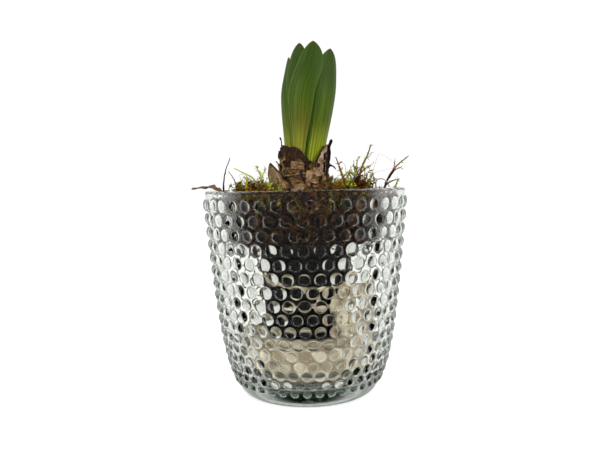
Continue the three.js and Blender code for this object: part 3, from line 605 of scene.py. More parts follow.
def growPot():
    look = potLook
    angles = np.arange(look["sides"]) / look["sides"] * turnAll

    def side(z):
        share = (z - look["bottom"]) / (look["top"] - look["bottom"])
        return mix(look["footRadius"], look["topRadius"], share)

    def fluted(z, inset=0.0):
        depth = look["fluteDepth"] * smooth(z, *look["fluteFoot"]) * (1 - smooth(z, *look["fluteTop"]))
        return side(z) - inset - depth * (0.5 + 0.5 * np.cos(angles * look["flutes"])) ** 3

    low, high, lip = look["bottom"], look["top"], look["lip"]
    under = high - look["lipDepth"]
    rings = [(0, low + 0.9), (10, low + 0.9), (11, low + 0.2), (24, low), (side(low) - 1.6, low),
             (side(low) - 0.6, low + 0.25), (side(low) - 0.1, low + 1.1)]
    rings += [(fluted(z), z) for z in look["outerHeights"]]
    rings += [(side(under), under - 0.3), (side(high) + lip - 0.5, under), (side(high) + lip, under + 0.5),
              (side(high) + lip, high - 0.7), (side(high) + lip - 0.6, high), (side(high) - 0.6, high),
              (side(high) - look["wall"], high - 0.7)]
    rings += [(fluted(z, look["wall"]), z) for z in look["innerHeights"]]
    rings += [(side(low) - look["wall"] - 0.6, low + 1.6), (side(low) - 3, low + 1.4), (0, low + 1.4)]
    shape = Shape().sweep(rings, angles)
    finish, tree, shader = newFinish("blackPlastic", look["color"], Roughness=0.42, Specular_IOR_Level=0.03)
    place = placeNode(tree)
    dust = useGroup(tree, mottle, Vector=place, Patch=55.0, Speck=700.0)["Height"]
    dusty = rampNode(tree, dust, (0.5, 0.0), (0.7, 1.0))
    color = blendNode(tree, mathNode(tree, "MULTIPLY", dusty, 0.3), look["color"], look["dust"])
    dress(tree, shader, color, dust, 0.12, 0.15, rampNode(tree, dust, (0.3, 0.36), (0.75, 0.62)))
    return piece("blackGrowPot", shape, finish, "pot_plastic", "grow_pot", weld=0.01)


growPot()


# Peat in the pot, crumbly and dark

peatLook = {
    "voxel": 1.1, "crumb": 2.4, "crumbDepth": 0.8,
    "color": (0.009, 0.005, 0.003), "crumbColor": (0.04, 0.022, 0.01),
}


def peatPlug():
    look = peatLook
    points, normals, corners = readMesh(finerCopy("peat", look["voxel"]))
    upper = smooth(normals[:, 2], 0.2, 0.6)
    sunk = (0.5 + 0.5 * softNoise(points, look["crumb"], 21)) * look["crumbDepth"] * mix(0.25, 1, upper)
    shape = Shape().add(points - normals * sunk[:, None], corners)
    finish, tree, shader = newFinish("darkPeat", look["color"], Roughness=0.95, Specular_IOR_Level=0.1)
    place = placeNode(tree)
    crumbs = noiseNode(tree, place, 700, 4, 0.65)
    pale = rampNode(tree, crumbs, (0.45, 0.0), (0.66, 1.0))
    color = blendNode(tree, pale, look["color"], look["crumbColor"])
    dress(tree, shader, color, crumbs, 0.8, 0.6)
    return piece("peatPlug", shape, finish, "peat", "peat")


peatPlug()
print("paper, pot and peat made")


# Bulb: ribbed body with a torn collar, then its dry coats as separate flakes and curls

bulbLook = {
    "outline": ((88, 7), (90.5, 14), (95, 21.5), (102, 26.4), (112, 28.4), (122, 27.6), (130, 25.4),
                (136, 22.9), (136.6, 21.7), (142, 19.6), (142.5, 18.4), (149, 16.9), (149.6, 16.2),
                (155, 15.8), (167, 16.6)),  # height, radius; each small step is the edge of a coat
    "foot": 88, "collar": 166.8, "cup": 146.35, "cupRadius": 14.8, "sides": 168, "steps": 84,
    "notchAt": 292, "notchWidth": 0.46, "notchDepth": 11.5,  # degrees, radians, millimetres
    "looseFlakes": 64, "looseFrom": (133, 157), "looseTints": (0.02, 0.06, 0.12, 0.3, 0.55, 0.7),
    "darkest": (0.006, 0.003, 0.003), "dark": (0.022, 0.009, 0.008), "brown": (0.09, 0.04, 0.015),
    "tan": (0.27, 0.145, 0.046), "cream": (0.52, 0.36, 0.17), "pink": (0.60, 0.46, 0.42),
}


def bulbRadius(angle, z):
    heights, radii = np.array(bulbLook["outline"]).T
    ribs = 0.35 * np.sin(9 * angle + z / 14) + 0.25 * np.sin(5 * angle - z / 8)
    return np.interp(z, heights, radii) + ribs * (1 - smooth(z, 152, 160))


def collarHeight(angle):
    look = bulbLook
    fromNotch = (angle - math.radians(look["notchAt"]) + math.pi) % turnAll - math.pi
    notch = np.exp(-((fromNotch / look["notchWidth"]) ** 2))
    torn = 0.6 * np.sin(7 * angle) + 0.4 * np.sin(13 * angle + 1)
    return look["collar"] + torn + 0.9 * np.cos(angle) - look["notchDepth"] * notch


# Flakes: middle angle and half width in degrees, foot, top, lift, tint, raggedness, run of the streaks
bulbFlakes = (
    (243, 30, 153.5, 169.4, 1.1, 0.13, 0.9, "up"), (254, 17, 149.6, 157.4, 1.7, 0.52, 1.0, "round"),
    (272, 9, 152.0, 160.2, 1.0, 0.08, 1.2, "up"), (240, 28, 146.8, 151.6, 2.1, 0.5, 0.7, "round"),
    (250, 20, 139.6, 147.2, 2.8, 0.4, 0.6, "round"), (256, 17, 134.8, 140.4, 2.9, 0.76, 0.8, "round"),
    (306, 12, 146.6, 153.4, 1.2, 0.8, 0.9, "round"), (322, 20, 150.0, 168.2, 0.5, 0.97, 0.6, "up"),
    (326, 4.5, 140.5, 162.5, 1.3, 0.03, 1.2, "up"), (208, 13, 148.0, 160.5, 1.4, 0.6, 1.6, "up"),
    (282, 9, 143.0, 151.5, 1.3, 0.66, 1.2, "up"), (292, 8, 139.5, 146.5, 1.8, 0.55, 1.3, "round"),
    (301, 10, 136.0, 143.0, 1.7, 0.36, 1.5, "round"), (315, 9, 138.0, 147.0, 1.5, 0.7, 1.4, "up"),
    (276, 12, 134.5, 139.5, 2.3, 0.3, 1.0, "round"), (228, 14, 135.0, 142.5, 2.2, 0.56, 1.2, "up"),
    (296, 12, 134.0, 138.5, 2.4, 0.7, 0.8, "round"), (322, 11, 134.0, 140.5, 2.0, 0.42, 1.2, "round"),
    (264, 6, 146.0, 151.0, 1.9, 0.12, 1.0, "up"), (298, 5, 150.5, 156.5, 1.0, 0.2, 1.0, "up"),
    (20, 26, 150.0, 168.5, 0.9, 0.3, 2.0, "up"), (75, 30, 151.0, 167.5, 1.0, 0.2, 2.4, "up"),
    (128, 28, 150.0, 166.5, 1.1, 0.45, 2.2, "up"), (178, 22, 151.0, 166.0, 1.0, 0.16, 2.2, "up"),
    (55, 24, 139.5, 152.0, 1.7, 0.6, 1.8, "up"), (100, 26, 138.5, 151.0, 1.8, 0.38, 1.8, "up"),
    (150, 24, 139.0, 152.5, 1.7, 0.66, 1.8, "up"), (190, 14, 138.0, 148.0, 1.7, 0.3, 1.8, "up"),
)
# Stiff curls: points, thickness along the curl, how flat it is, tint
bulbCurls = (
    (((15.4, -3.4, 151), (16.6, -3.0, 157), (17.6, -2.4, 162), (17.5, -2.0, 166.5), (19.2, -1.6, 171.4)),
     (0.9, 1.2, 1.1, 0.9, 1.5), 0.6, 0.12),
    (((-14.2, -7.0, 163.5), (-14.8, -6.6, 168), (-15.0, -6.3, 170.5), (-15.9, -6.2, 173.2)),
     (1.1, 0.5, 0.4, 1.0), 0.8, 0.14),
    (((-13.6, -9.0, 158.5), (-15.6, -8.4, 160.2), (-17.4, -8.0, 160.4)), (1.5, 1.1, 1.7), 0.7, 0.16),
    (((14.6, -9.5, 152.6), (17.2, -9.8, 153.4), (19.6, -10, 152.6), (21.2, -10.2, 150.6)),
     (1.1, 0.75, 0.55, 0.35), 1.0, 0.02),
    (((13.0, -11.0, 141), (14.6, -10.6, 147), (15.0, -9.8, 153), (15.4, -8.4, 159.5)),
     (1.1, 0.9, 0.8, 0.6), 0.6, 0.1),
    (((-16.4, -9.6, 137.5), (-17.2, -9.0, 143), (-15.4, -9.4, 149)), (1.2, 0.9, 0.6), 0.7, 0.2),
)
# Loose tongues: angle, root height, radius, width, length, lean, curl, tint
coatTongues = (
    (214, 138.2, 23.0, 33, 18.0, 0.18, 0.1, 0.6), (176, 151.5, 15.6, 6, 7.0, 0.3, 0.6, 0.3),
    (168, 159.2, 15.6, 6, 7.5, 0.2, -0.3, 0.14), (8, 159.2, 15.6, 7.5, 9.5, 0.15, 0.4, 0.2),
    (320, 138.8, 17.4, 12, 9.5, 0.5, 0.8, 0.5), (100, 138.8, 17.6, 16, 14.5, 0.4, 0.6, 0.3),
    (50, 143.2, 15.9, 12, 13.5, 0.3, 0.7, 0.55),
)


def addFlake(shape, middle, half, foot, top, lift, tint, ragged, run, seed):
    u = np.linspace(-1, 1, 14 + round(half))[None, :]
    t = np.linspace(0, 1, 12)[:, None]
    angle = math.radians(middle) + math.radians(half) * u * (1 - 0.12 * t * t)
    bulge = softNoise(spots(t * 5, np.sign(u) * 5, seed), 2.6, seed + 5)  # uneven sides
    angle = angle + math.radians(half) * 0.3 * u * np.abs(u) * bulge
    edge = softNoise(spots(u * half / 3 + seed, 0, 0), 5.2, seed, 2)
    crown = top - ragged * (0.4 + 0.6 * edge) - 0.9 * ragged * u**4
    crown = np.minimum(crown, collarHeight(angle[:1]) + 0.5 * lift)
    z = foot + (crown - foot) * t + mix(0.6, 0.25, t) * softNoise(spots(u * 8, t * 6, seed), 5, seed + 1)
    body = bulbRadius(angle, z)
    grain = polar(body, angle, z * 1.4) if run == "up" else polar(body, angle * 0.35, z * 1.8)
    wrinkle = 0.4 * softNoise(grain, 3.4, seed + 2)
    raised = 0.15 + lift * (0.25 + 0.75 * t**2.2) * (1 - 0.55 * u**4) + wrinkle * (0.4 + 0.6 * t)
    thick = 0.5 * (1 - 0.5 * t)
    outer = polar(body + raised, angle, z)
    inner = polar(np.minimum(body + raised - thick, body + raised - 0.25) - 0.5 * (1 - t), angle, z)
    bite = 0.05 * softNoise(outer, 4, seed + 3)
    streak = (u * half / 10, t * 0.8) if run == "up" else (t * (top - foot) / 2.2, u * 0.6)
    # painted shade: each flake darkens towards its top and side edges, standing in for the shaded gaps
    # between the coats
    rim = smooth(t, 0.82, 1.0) * 0.55 + smooth(np.abs(u), 0.86, 1) * 0.3
    addSlab(shape, outer, inner, tint=np.clip(tint + bite - tint * 0.75 * rim, 0, 1),
            across=streak[0] + seed, along=streak[1])


def addTongue(shape, angle, root, radius, width, length, lean, curl, tint, seed):
    rows, columns = 16, 13
    turn = math.radians(angle)
    out, side = polar(1, turn, 0), polar(1, turn + math.pi / 2, 0)
    u = np.linspace(1, -1, columns)
    outer, inner, spine, tilt = [], [], out * radius + (0, 0, root), lean
    for k in range(rows):
        t = k / (rows - 1)
        tatter = 1 + 0.22 * softNoise(np.array([[t * 9 + seed, 0, 0], [t * 9 - seed, 4, 0]]), 4, seed)
        half = (width / 2 * max(0, 1 - t**1.1) ** 0.9 + 0.3) * np.where(u > 0, tatter[0], tatter[1])
        along = out * math.sin(tilt) + np.array((0, 0, math.cos(tilt)))
        face = out * math.cos(tilt) - np.array((0, 0, math.sin(tilt)))
        bow = -0.5 * (u * half) ** 2 / radius + 0.3 * softNoise(spots(u * 5, 8 * t, 0), 4, seed)
        base = spine + side * (u * half)[:, None]
        outer.append(base + face * (bow + 0.3)[:, None])
        inner.append(base + face * (bow - 0.3)[:, None])
        spine = spine + along * length / (rows - 1)
        tilt += curl / (rows - 1)
    t = np.linspace(0, 1, rows)[:, None]
    dark = np.clip(smooth(np.abs(u), 0.72, 0.95) + smooth(t, 0.8, 0.97), 0, 1)
    addSlab(shape, np.array(outer), np.array(inner), tint=tint * (1 - 0.8 * dark),
            across=u * width / 9 + seed, along=t * 0.9)


def addCurl(shape, n, points, thick, flat, tint):
    steps = 22
    spine = curveThrough(points, steps)
    radii = np.interp(np.linspace(0, 1, steps), np.linspace(0, 1, len(thick)), thick)
    radii = radii * (1 + 0.22 * softNoise(spine, 2.5, n + 160))
    radii = radii * np.sqrt(np.clip(np.linspace(1.02, 0, steps) * 12, 0, 1))  # a blunt tip
    addTubes(shape, spine, np.maximum(radii, 0.06), 9, flat=flat, tint=tint, across=n, along=0.3)


def addBulbBody(shape):  # outside, torn collar, and the cup that the leaves stand in
    look = bulbLook
    angle = (np.arange(look["sides"]) / look["sides"] * turnAll)[None, :]
    share = np.linspace(0, 1, look["steps"])[:, None]
    top = collarHeight(angle) + 0.7 * softNoise(polar(9, angle, 0), 1.6, 31, 2) - 0.6
    z = mix(look["foot"], top, share)
    rough = softNoise(polar(20, angle, z), 5.5, 32) * 0.45
    rough = rough + softNoise(polar(20, angle * 0.35, z * 1.6), 2.2, 33) * 0.28
    r = bulbRadius(angle, z) - 0.35 + rough * smooth(z, 90, 96)
    rim, rimHeight = r[-1:], z[-1:]
    rings = [polar(r, angle, z), polar(rim - 0.55, angle, rimHeight + 0.1)]
    for down in (0.05, 0.4, 0.75, 1):
        height = mix(rimHeight - 0.2, look["cup"] - 0.3, down)
        rings.append(polar(mix(rim - 0.8, look["cupRadius"], down), angle, height))
    rings = np.concatenate(rings)
    # painted shade: the body under the coats is kept dark so the gaps between the flakes look shaded; it also
    # darkens towards the top
    tint = np.clip(0.2 + 0.25 * softNoise(polar(18, angle, z), 7, 34) - 0.2 * smooth(z, 150, 164), 0, 1)
    tint = np.concatenate([tint, np.full((5, look["sides"]), 0.3)])
    shape.body(rings, tint=tint, across=rings[:, :, 2] / 2.5,
               along=np.arctan2(rings[:, :, 1], rings[:, :, 0]) * 2)


def paperyCoats():
    look = bulbLook
    finish, tree, shader = newFinish("paperyCoats", Roughness=0.78, Specular_IOR_Level=0.06)
    across, along = markNode(tree, "across"), markNode(tree, "along")
    line = useGroup(tree, streaks, Across=across, Along=along, Count=13.0, Length=1.6)["Line"]
    tint = mathNode(tree, "ADD", markNode(tree, "tint"), mathNode(tree, "MULTIPLY_ADD", line, 2.5, -1.22))
    color = rampNode(tree, tint, (0.0, look["darkest"]), (0.14, look["dark"]), (0.36, look["brown"]),
                     (0.58, look["tan"]), (0.8, look["cream"]), (1.0, look["pink"]))
    dirt = useGroup(tree, mottle, Color=color, Vector=placeNode(tree), Patch=170.0, Speck=1100.0, Depth=0.75)
    height = mathNode(tree, "MULTIPLY_ADD", dirt["Height"], 0.8, line)
    dress(tree, shader, dirt["Color"], height, 1.0, 0.9, rampNode(tree, line, (0.3, 0.62), (0.7, 0.88)))
    return finish


def hyacinthBulb():
    look = bulbLook
    shape = Shape("tint", "across", "along")
    addBulbBody(shape)
    for n, flake in enumerate(bulbFlakes):
        addFlake(shape, *flake, n + 40)
    rng = np.random.default_rng(35)
    for n in range(look["looseFlakes"]):
        foot = rng.uniform(*look["looseFrom"])
        middle, half, top = rng.uniform(0, 360), rng.uniform(2.5, 9), foot + rng.uniform(1.8, 5.5)
        lift, tint, ragged = rng.uniform(1.0, 2.6), rng.choice(look["looseTints"]), rng.uniform(0.5, 1.6)
        run = rng.choice(["up", "round", "round"])
        addFlake(shape, middle, half, foot, top, lift, tint, ragged, run, n + 90)
    for n, tongue in enumerate(coatTongues):
        addTongue(shape, *tongue, n + 140)
    for n, curl in enumerate(bulbCurls):
        addCurl(shape, n, *curl)
    return piece("hyacinthBulb", shape, paperyCoats(), "bulb", "bulb", weld=0.0)


hyacinthBulb()
print("bulb made")


# Leaves: shells round the bud, each a closed blade with a rib, thin margins and a blunt tip

leafLook = {
    "base": 146.35, "freeFrom": 150, "fullAt": 208, "bellyAt": 0.66, "rib": 1.9, "edge": 0.7, "lean": 0.088,
    "leanFrom": 157, "columns": 31, "rows": 84, "veins": 17.0,
    "foot": (0.36, 0.37, 0.07), "low": (0.19, 0.22, 0.012), "middle": (0.043, 0.07, 0.002),
    "high": (0.02, 0.04, 0.0015),
    # the pale margin colour is partly the leaf's own thin edge, partly a painted highlight along it
    "paleMarginHighlight": (0.15, 0.21, 0.03), "shadow": (0.018, 0.045, 0.003), "flush": (0.11, 0.045, 0.012),
    "tip": (0.06, 0.03, 0.012), "rimWidth": 0.6, "shadeWidth": 17,
    "covers": {  # how deep the shade is, and the blades that cast it
        "leafFrontRight": (1, "leafFront"), "leafFrontLeft": (0.8, "leafFront"),
        "leafFront": (0.4, "leafFrontRight"), "leafBackRight": (1, "leafFrontRight"),
        "leafBackLeft": (1, "leafFront", "leafFrontLeft")},
}
# Direction, wrap, the radius at neck, belly and tip, tip height, half width, the foot's share of that width,
# how blunt the tip is, turn in degrees, the shares of the length that it turns between, and the brown flush
Blade = namedtuple("Blade", "node direction wrap neck belly tipRadius tip half foot blunt turn turning flush")
leaves = {
    "leafFrontRight": Blade(
        "leaf_front_right", -38, -0.035, 11.2, 16.8, 15.7, 230.2, 12.4, 0.8, 2.9, 0, (0.6, 0.95), 0.2),
    "leafFront": Blade("leaf_front", -108, 0, 12.4, 17.8, 14.5, 234.5, 9.3, 0.44, 3.8, 21, (0.57, 0.94), 0.8),
    "leafFrontLeft": Blade(
        "leaf_front_left", -113, 0.055, 10.2, 15.4, 12, 234.5, 6.6, 0.5, 5.2, -19.5, (0.45, 0.8), 0.2),
    "leafBackLeft": Blade(
        "leaf_back_left", -176, 0.07, 11, 17.4, 15, 226.6, 11.5, 0.8, 2, 3, (0.6, 0.95), 0.3),
    "leafBack": Blade("leaf_back", -248, 0, 10, 14.9, 12, 228, 12, 0.85, 2.2, 0, (0.6, 0.95), 0.4),
    "leafBackRight": Blade(
        "leaf_back_right", -327, -0.045, 10.8, 15.8, 13.2, 221, 11.5, 0.85, 2.2, 0, (0.6, 0.95), 0.3),
}


def clusterShift(z):
    return leafLook["lean"] * np.maximum(0, z - leafLook["leanFrom"])


def bladeSpan(blade, z):  # direction in degrees, half width and radius at each height
    look = leafLook
    v = (z - look["base"]) / (blade.tip - look["base"])
    fall = np.clip((v - look["bellyAt"]) / (1 - look["bellyAt"]), 0, 1) ** blade.blunt
    half = mix(blade.foot, 1, smooth(v, 0.12, look["bellyAt"])) * (1 - fall) ** 0.8
    half = blade.half * (0.985 * half + 0.015)
    reach = mix(blade.neck, blade.belly, smooth(z, look["freeFrom"], look["fullAt"]))
    reach = reach + (blade.tipRadius - blade.belly) * smooth(v, look["bellyAt"], 1.04)
    return blade.direction + blade.turn * smooth(v, *blade.turning), half, reach


def leafFinish():
    look = leafLook
    finish, tree, shader = newFinish("leafGreen", Roughness=0.36, Specular_IOR_Level=0.07)
    along, over, flush = markNode(tree, "along"), markNode(tree, "across"), markNode(tree, "flush")
    veins = useGroup(tree, streaks, Across=over, Along=along, Count=look["veins"], Length=1.3)
    line, broad = veins["Line"], veins["Broad"]
    place = mathNode(tree, "ADD", along, mathNode(tree, "MULTIPLY_ADD", broad, 0.22, -0.11))
    color = rampNode(tree, place, (0.0, look["foot"]), (0.14, look["low"]), (0.42, look["middle"]),
                     (0.78, look["high"]))
    vein = rampNode(tree, line, (0.32, (0.3, 0.42, 0.1)), (0.5, (0.9, 0.92, 0.7)), (0.68, (2.0, 1.9, 2.6)))
    color = blendNode(tree, 1.0, color, vein, "MULTIPLY")
    lowPart = rampNode(tree, along, (0.12, 0.0), (0.24, 1.0), (0.42, 0.8), (0.58, 0.0))
    patch = rampNode(tree, broad, (0.4, 0.0), (0.62, 1.0))
    brown = mathNode(tree, "MULTIPLY", mathNode(tree, "MULTIPLY", lowPart, patch), flush)
    color = blendNode(tree, mathNode(tree, "MULTIPLY", brown, 0.8), color, look["flush"])
    fromMiddle = mathNode(tree, "ABSOLUTE", over)
    color = blendNode(tree, rampNode(tree, fromMiddle, (0.72, 0.0), (0.92, 0.45)), color, look["shadow"])
    # paler margins: partly the leaf's own thin edge, partly a painted highlight
    color = blendNode(tree, rampNode(tree, fromMiddle, (0.93, 0.0), (0.975, 0.5)), color, look["paleMarginHighlight"])
    color = blendNode(tree, mathNode(tree, "MULTIPLY", markNode(tree, "shade"), 0.75), color, look["shadow"])
    color = blendNode(tree, markNode(tree, "rim"), color, look["tip"])
    dress(tree, shader, color, line, 0.4, 0.35, rampNode(tree, line, (0.3, 0.36), (0.7, 0.5)))
    return finish


def neighbourShade(name, direction, z):  # 1 where a neighbour lies over the blade, falling off beside it
    look = leafLook
    shade = 0 * direction
    deep, *covers = look["covers"].get(name, (0,))
    for cover in covers:
        over, half, reach = bladeSpan(leaves[cover], z)
        beyond = np.abs(direction - over) - np.degrees(half / reach)
        shade = np.maximum(shade, deep * smooth(beyond, look["shadeWidth"], -2) * (half > look["rimWidth"]))
    return shade


def leafBlade(name, finish):
    look, blade = leafLook, leaves[name]
    u = np.linspace(1, -1, look["columns"])[None, :]
    v = (1 - (1 - np.linspace(0, 1, look["rows"])) ** 1.45)[:, None]  # closer rows near the tip
    z = mix(look["base"], blade.tip, v)
    middle, half, reach = bladeSpan(blade, z)
    spread = half / reach
    thick = mix(look["edge"], look["rib"], 1 - u * u) * mix(1, 0.45, v**4)
    keel = (0.16 * np.exp(-((u / 0.1) ** 2)) + 0.07 * np.cos(u * 19)) * (1 - smooth(v, 0.85, 1))
    skins = []
    for face in (1, -1):
        r = reach + blade.wrap * np.degrees(u * spread) + face * thick / 2 + keel * (face > 0)
        skin = polar(r, np.radians(middle) - u * spread, z)
        skin[:, :, 0] += clusterShift(z)
        skins.append(skin)
    rim = smooth(blade.tip - z, 7, 0) * smooth((1 - np.abs(u)) * half, look["rimWidth"] * 2, look["rimWidth"])
    shade = neighbourShade(name, middle - np.degrees(u * spread), z)
    shape = Shape("along", "across", "flush", "rim", "shade")
    addSlab(shape, *skins, along=v, across=u, flush=blade.flush, rim=rim, shade=shade)
    return piece(name, shape, finish, "leaf", blade.node, weld=0.0)


leafGreen = leafFinish()
for name in leaves:
    leafBlade(name, leafGreen)
print("leaves made")


# Flower bud between the leaves: a stalk with closed florets in a spiral

budLook = {
    "stalk": ((3.2, 146.35), (3.4, 160), (4.4, 168), (5.0, 182), (4.2, 196), (2.2, 206.5)),  # radius, height
    "florets": 34, "spiral": 137.5, "from": 167, "to": 204.5, "length": (9.6, 5.6), "size": (2.05, 1.25),
    "tilt": (0.42, 0.12), "reach": (4.9, 1.5), "green": (0.24, 0.36, 0.08), "blush": (0.22, 0.14, 0.28),
}


def addFloret(shape, n):
    look = budLook
    t = n / (look["florets"] - 1)
    turn, tilt = n * math.radians(look["spiral"]), mix(*look["tilt"], t)
    length, size = mix(*look["length"], t), mix(*look["size"], t)
    share = np.linspace(0, 1, 11)[:, None]
    around = (np.arange(12) / 12 * turnAll)[None, :]
    ribs = 1 + 0.1 * np.cos(6 * around)
    swell = size * np.sqrt(np.maximum(np.sin(math.pi * share**0.8), 0.0)) * ribs + 0.03
    local = spots(swell * np.cos(around), swell * np.sin(around), length * (share - 0.45))
    lean = np.array(Matrix.Rotation(tilt, 3, "Y"))
    spin = np.array(Matrix.Rotation(turn, 3, "Z"))
    middle = polar(mix(*look["reach"], t**1.6), turn, mix(look["from"], look["to"], t))
    middle = middle + np.array([clusterShift(middle[2]), 0, 0])
    shape.body(local @ lean.T @ spin.T + middle, along=0.3 + 0.7 * share)


def flowerBud():
    look = budLook
    shape = Shape("along")
    radii, heights = np.array(look["stalk"]).T
    z = np.linspace(heights[0], heights[-1], 40)[:, None]
    angle = (np.arange(24) / 24 * turnAll)[None, :]
    stalk = polar(np.interp(z, heights, radii) + 0.12 * np.cos(6 * angle), angle, z)
    stalk[:, :, 0] += clusterShift(z)
    shape.body(stalk, along=0.1)
    for n in range(look["florets"]):
        addFloret(shape, n)
    finish, tree, shader = newFinish("budGreen", look["green"], Roughness=0.5)
    tip = rampNode(tree, markNode(tree, "along"), (0.55, 0.0), (1.0, 0.8))
    fine = noiseNode(tree, placeNode(tree), 420, 3)
    color = blendNode(tree, mathNode(tree, "MULTIPLY", tip, fine), look["green"], look["blush"])
    dress(tree, shader, color, fine, 0.3, 0.2)
    return piece("flowerBud", shape, finish, "bud", "flower_bud", weld=0.0)


flowerBud()
print("bud made")


# Moss, stems and litter share one finish that runs from black-brown through rust and olive to yellow-green

mossLook = {
    "top": 137, "bottom": 104.6, "inner": 18, "rest": 33.5, "clumps": 5, "parting": 0.7, "lowered": 1.6,
    "edge": 1.0, "behindGlass": (58, 62), "restHeight": 99.95, "under": 99,
    "glassGap": 0.45, "bulbGap": 1.1, "leansOver": 139, "leansOut": 0.6,
    "heapSprigs": 240, "greenShare": 0.24, "wallSprigs": 260, "strands": 170, "leaflets": 13,
    "reaches": (18, 21, 25, 29, 33.5, 37, 41, 45, 49, 53, 57, 60.5, 66), "alongRows": 34, "wallRows": 7,
    "bareTones": (0.03, 0.1, 0.2, 0.28, 0.34, 0.42), "litterTones": (0.05, 0.22, 0.34, 0.44, 0.5),
    "tones": ((0.0, (0.004, 0.002, 0.001)), (0.2, (0.02, 0.008, 0.003)), (0.34, (0.13, 0.036, 0.007)),
              (0.5, (0.13, 0.07, 0.01)), (0.66, (0.11, 0.115, 0.007)), (0.82, (0.27, 0.31, 0.017)),
              (1.0, (0.52, 0.56, 0.06))),
    "paleColor": (0.62, 0.52, 0.46),
}


def mossTop(angle, r):
    return mossLook["top"] + 2.2 * ruffle(angle, r, 0.3) - 4 * smooth(r, 50, 64)


def mossUnderside(angle, r):
    inward = (mossLook["rest"] - r) / (mossLook["rest"] - mossLook["inner"])
    outer = mossLook["under"] + 8 * smooth(r, 30, 60) + 3.4 * ruffle(angle, r, 2.7)
    return np.where(inward >= 0, mix(mossLook["restHeight"], mossLook["bottom"], inward), outer)


def mossParting(n, r):
    return n * turnAll / mossLook["clumps"] + 0.2 + 0.09 * np.sin(r / 5 + 2 * (n % mossLook["clumps"]))


def clumpAt(x, y):
    angle, r = np.arctan2(y, x) % turnAll, np.hypot(x, y)
    first = int(angle // (turnAll / mossLook["clumps"]))
    for n in (first, first - 1):
        if angle >= mossParting(n, r) % turnAll or n < first:
            return n % mossLook["clumps"]


def keepClear(points):  # moss presses against the glass and the bulb, and leans over the rim only above it
    look = mossLook
    x, y, z = np.moveaxis(points, -1, 0)
    r, angle = np.hypot(x, y), np.arctan2(y, x)
    lean = np.clip(z - look["leansOver"], 0, 4) * look["leansOut"]
    glass = innerRadius(np.clip(z, 30, vaseLook["height"])) - look["glassGap"] + lean
    heights, radii = np.array(bulbLook["outline"]).T
    core = np.interp(z, heights, radii) + look["bulbGap"]
    return polar(np.clip(r, core, np.maximum(glass, core + 1)), angle, z)


def mossFinish():
    look = mossLook
    finish, tree, shader = newFinish("mossAndStems", Roughness=0.72, Specular_IOR_Level=0.03)
    place = placeNode(tree)
    fine = noiseNode(tree, place, 800, 3)
    tone = mathNode(tree, "ADD", markNode(tree, "tone"), mathNode(tree, "MULTIPLY_ADD", fine, 0.22, -0.11))
    color = rampNode(tree, tone, *look["tones"])
    color = blendNode(tree, markNode(tree, "pale"), color, look["paleColor"])
    dirt = useGroup(tree, mottle, Color=color, Vector=place, Patch=240.0, Speck=1500.0, Depth=0.3)
    dress(tree, shader, dirt["Color"], dirt["Height"], 0.4, 0.3)
    return finish


# Many sprigs at once, each a bent stalk with leaflets all round
def addSprigs(shape, rng, roots, aims, lengths, tone, leafSize, bend=0.35, thick=0.3,
              leaflets=mossLook["leaflets"]):
    count, aims = len(roots), unit(aims)
    bends = rng.normal(size=(count, 3)) * bend
    share = np.linspace(0, 1, 5)

    def spineAt(t):
        t = t[..., None]
        return roots[:, None] + (aims[:, None] * t + bends[:, None] * t**2) * lengths[:, None, None]

    spines = keepClear(spineAt(np.broadcast_to(share, (count, 5))))
    addTubes(shape, spines, thick * (1.05 - 0.7 * share), 3, tone=tone[:, None] - 0.22 + 0.16 * share)
    places = (np.arange(leaflets) + rng.uniform(0.1, 0.9, (count, leaflets))) / leaflets * 0.88 + 0.12
    bases = keepClear(spineAt(places))
    tangents = unit(aims[:, None] + 2 * bends[:, None] * places[..., None])
    n, b = across(tangents)
    turn = np.arange(leaflets) * 2.4 + rng.uniform(0, turnAll, (count, 1))
    radial = n * np.cos(turn)[..., None] + b * np.sin(turn)[..., None]
    leafAim = unit(tangents * 0.6 + radial * rng.uniform(0.6, 1.2, (count, leaflets, 1)))
    sizes = leafSize[:, None] * (1.15 - 0.5 * places) * rng.uniform(0.75, 1.2, (count, leaflets))
    tones = tone[:, None] + 0.14 * (places - 0.5) + rng.normal(size=(count, leaflets)) * 0.05
    addLeaflets(shape, bases.reshape(-1, 3), leafAim.reshape(-1, 3), tangents.reshape(-1, 3), sizes.ravel(),
                (sizes * 0.42).ravel(), tone=np.clip(tones, 0, 1).ravel())
    shape.points[-1] = keepClear(shape.points[-1])


def addStrands(shape, rng, roots, aims, lengths, radii, tone):
    steps = np.linspace(0, 1, 8)[:, None]
    wander = np.cumsum(rng.normal(size=(len(roots), 8, 3)) * 0.16, axis=1)
    spines = roots[:, None] + (unit(aims)[:, None] * steps + wander * steps) * lengths[:, None, None]
    addTubes(shape, keepClear(spines), radii[:, None] * (1.1 - 0.6 * steps[:, 0]), 3, tone=tone[:, None])


# Tufts of long sprigs: place, how many, their length, tone
tufts = (
    (23, -23, 5, 10, 0.8), (28, -21, 6, 14, 0.88), (33, -20, 7, 16, 0.84), (38, -18, 7, 13, 0.6),
    (43, -15, 6, 10, 0.44), (33, -14, 6, 11, 0.5), (-26, -19, 4, 11, 0.84), (-31, -16, 6, 8, 0.46),
    (-36, -14, 5, 8, 0.42), (10, 46, 8, 12, 0.8), (-30, 36, 9, 12, 0.86), (38, 24, 9, 13, 0.8),
    (-44, 12, 6, 9, 0.7), (26, 40, 7, 10, 0.6),
)
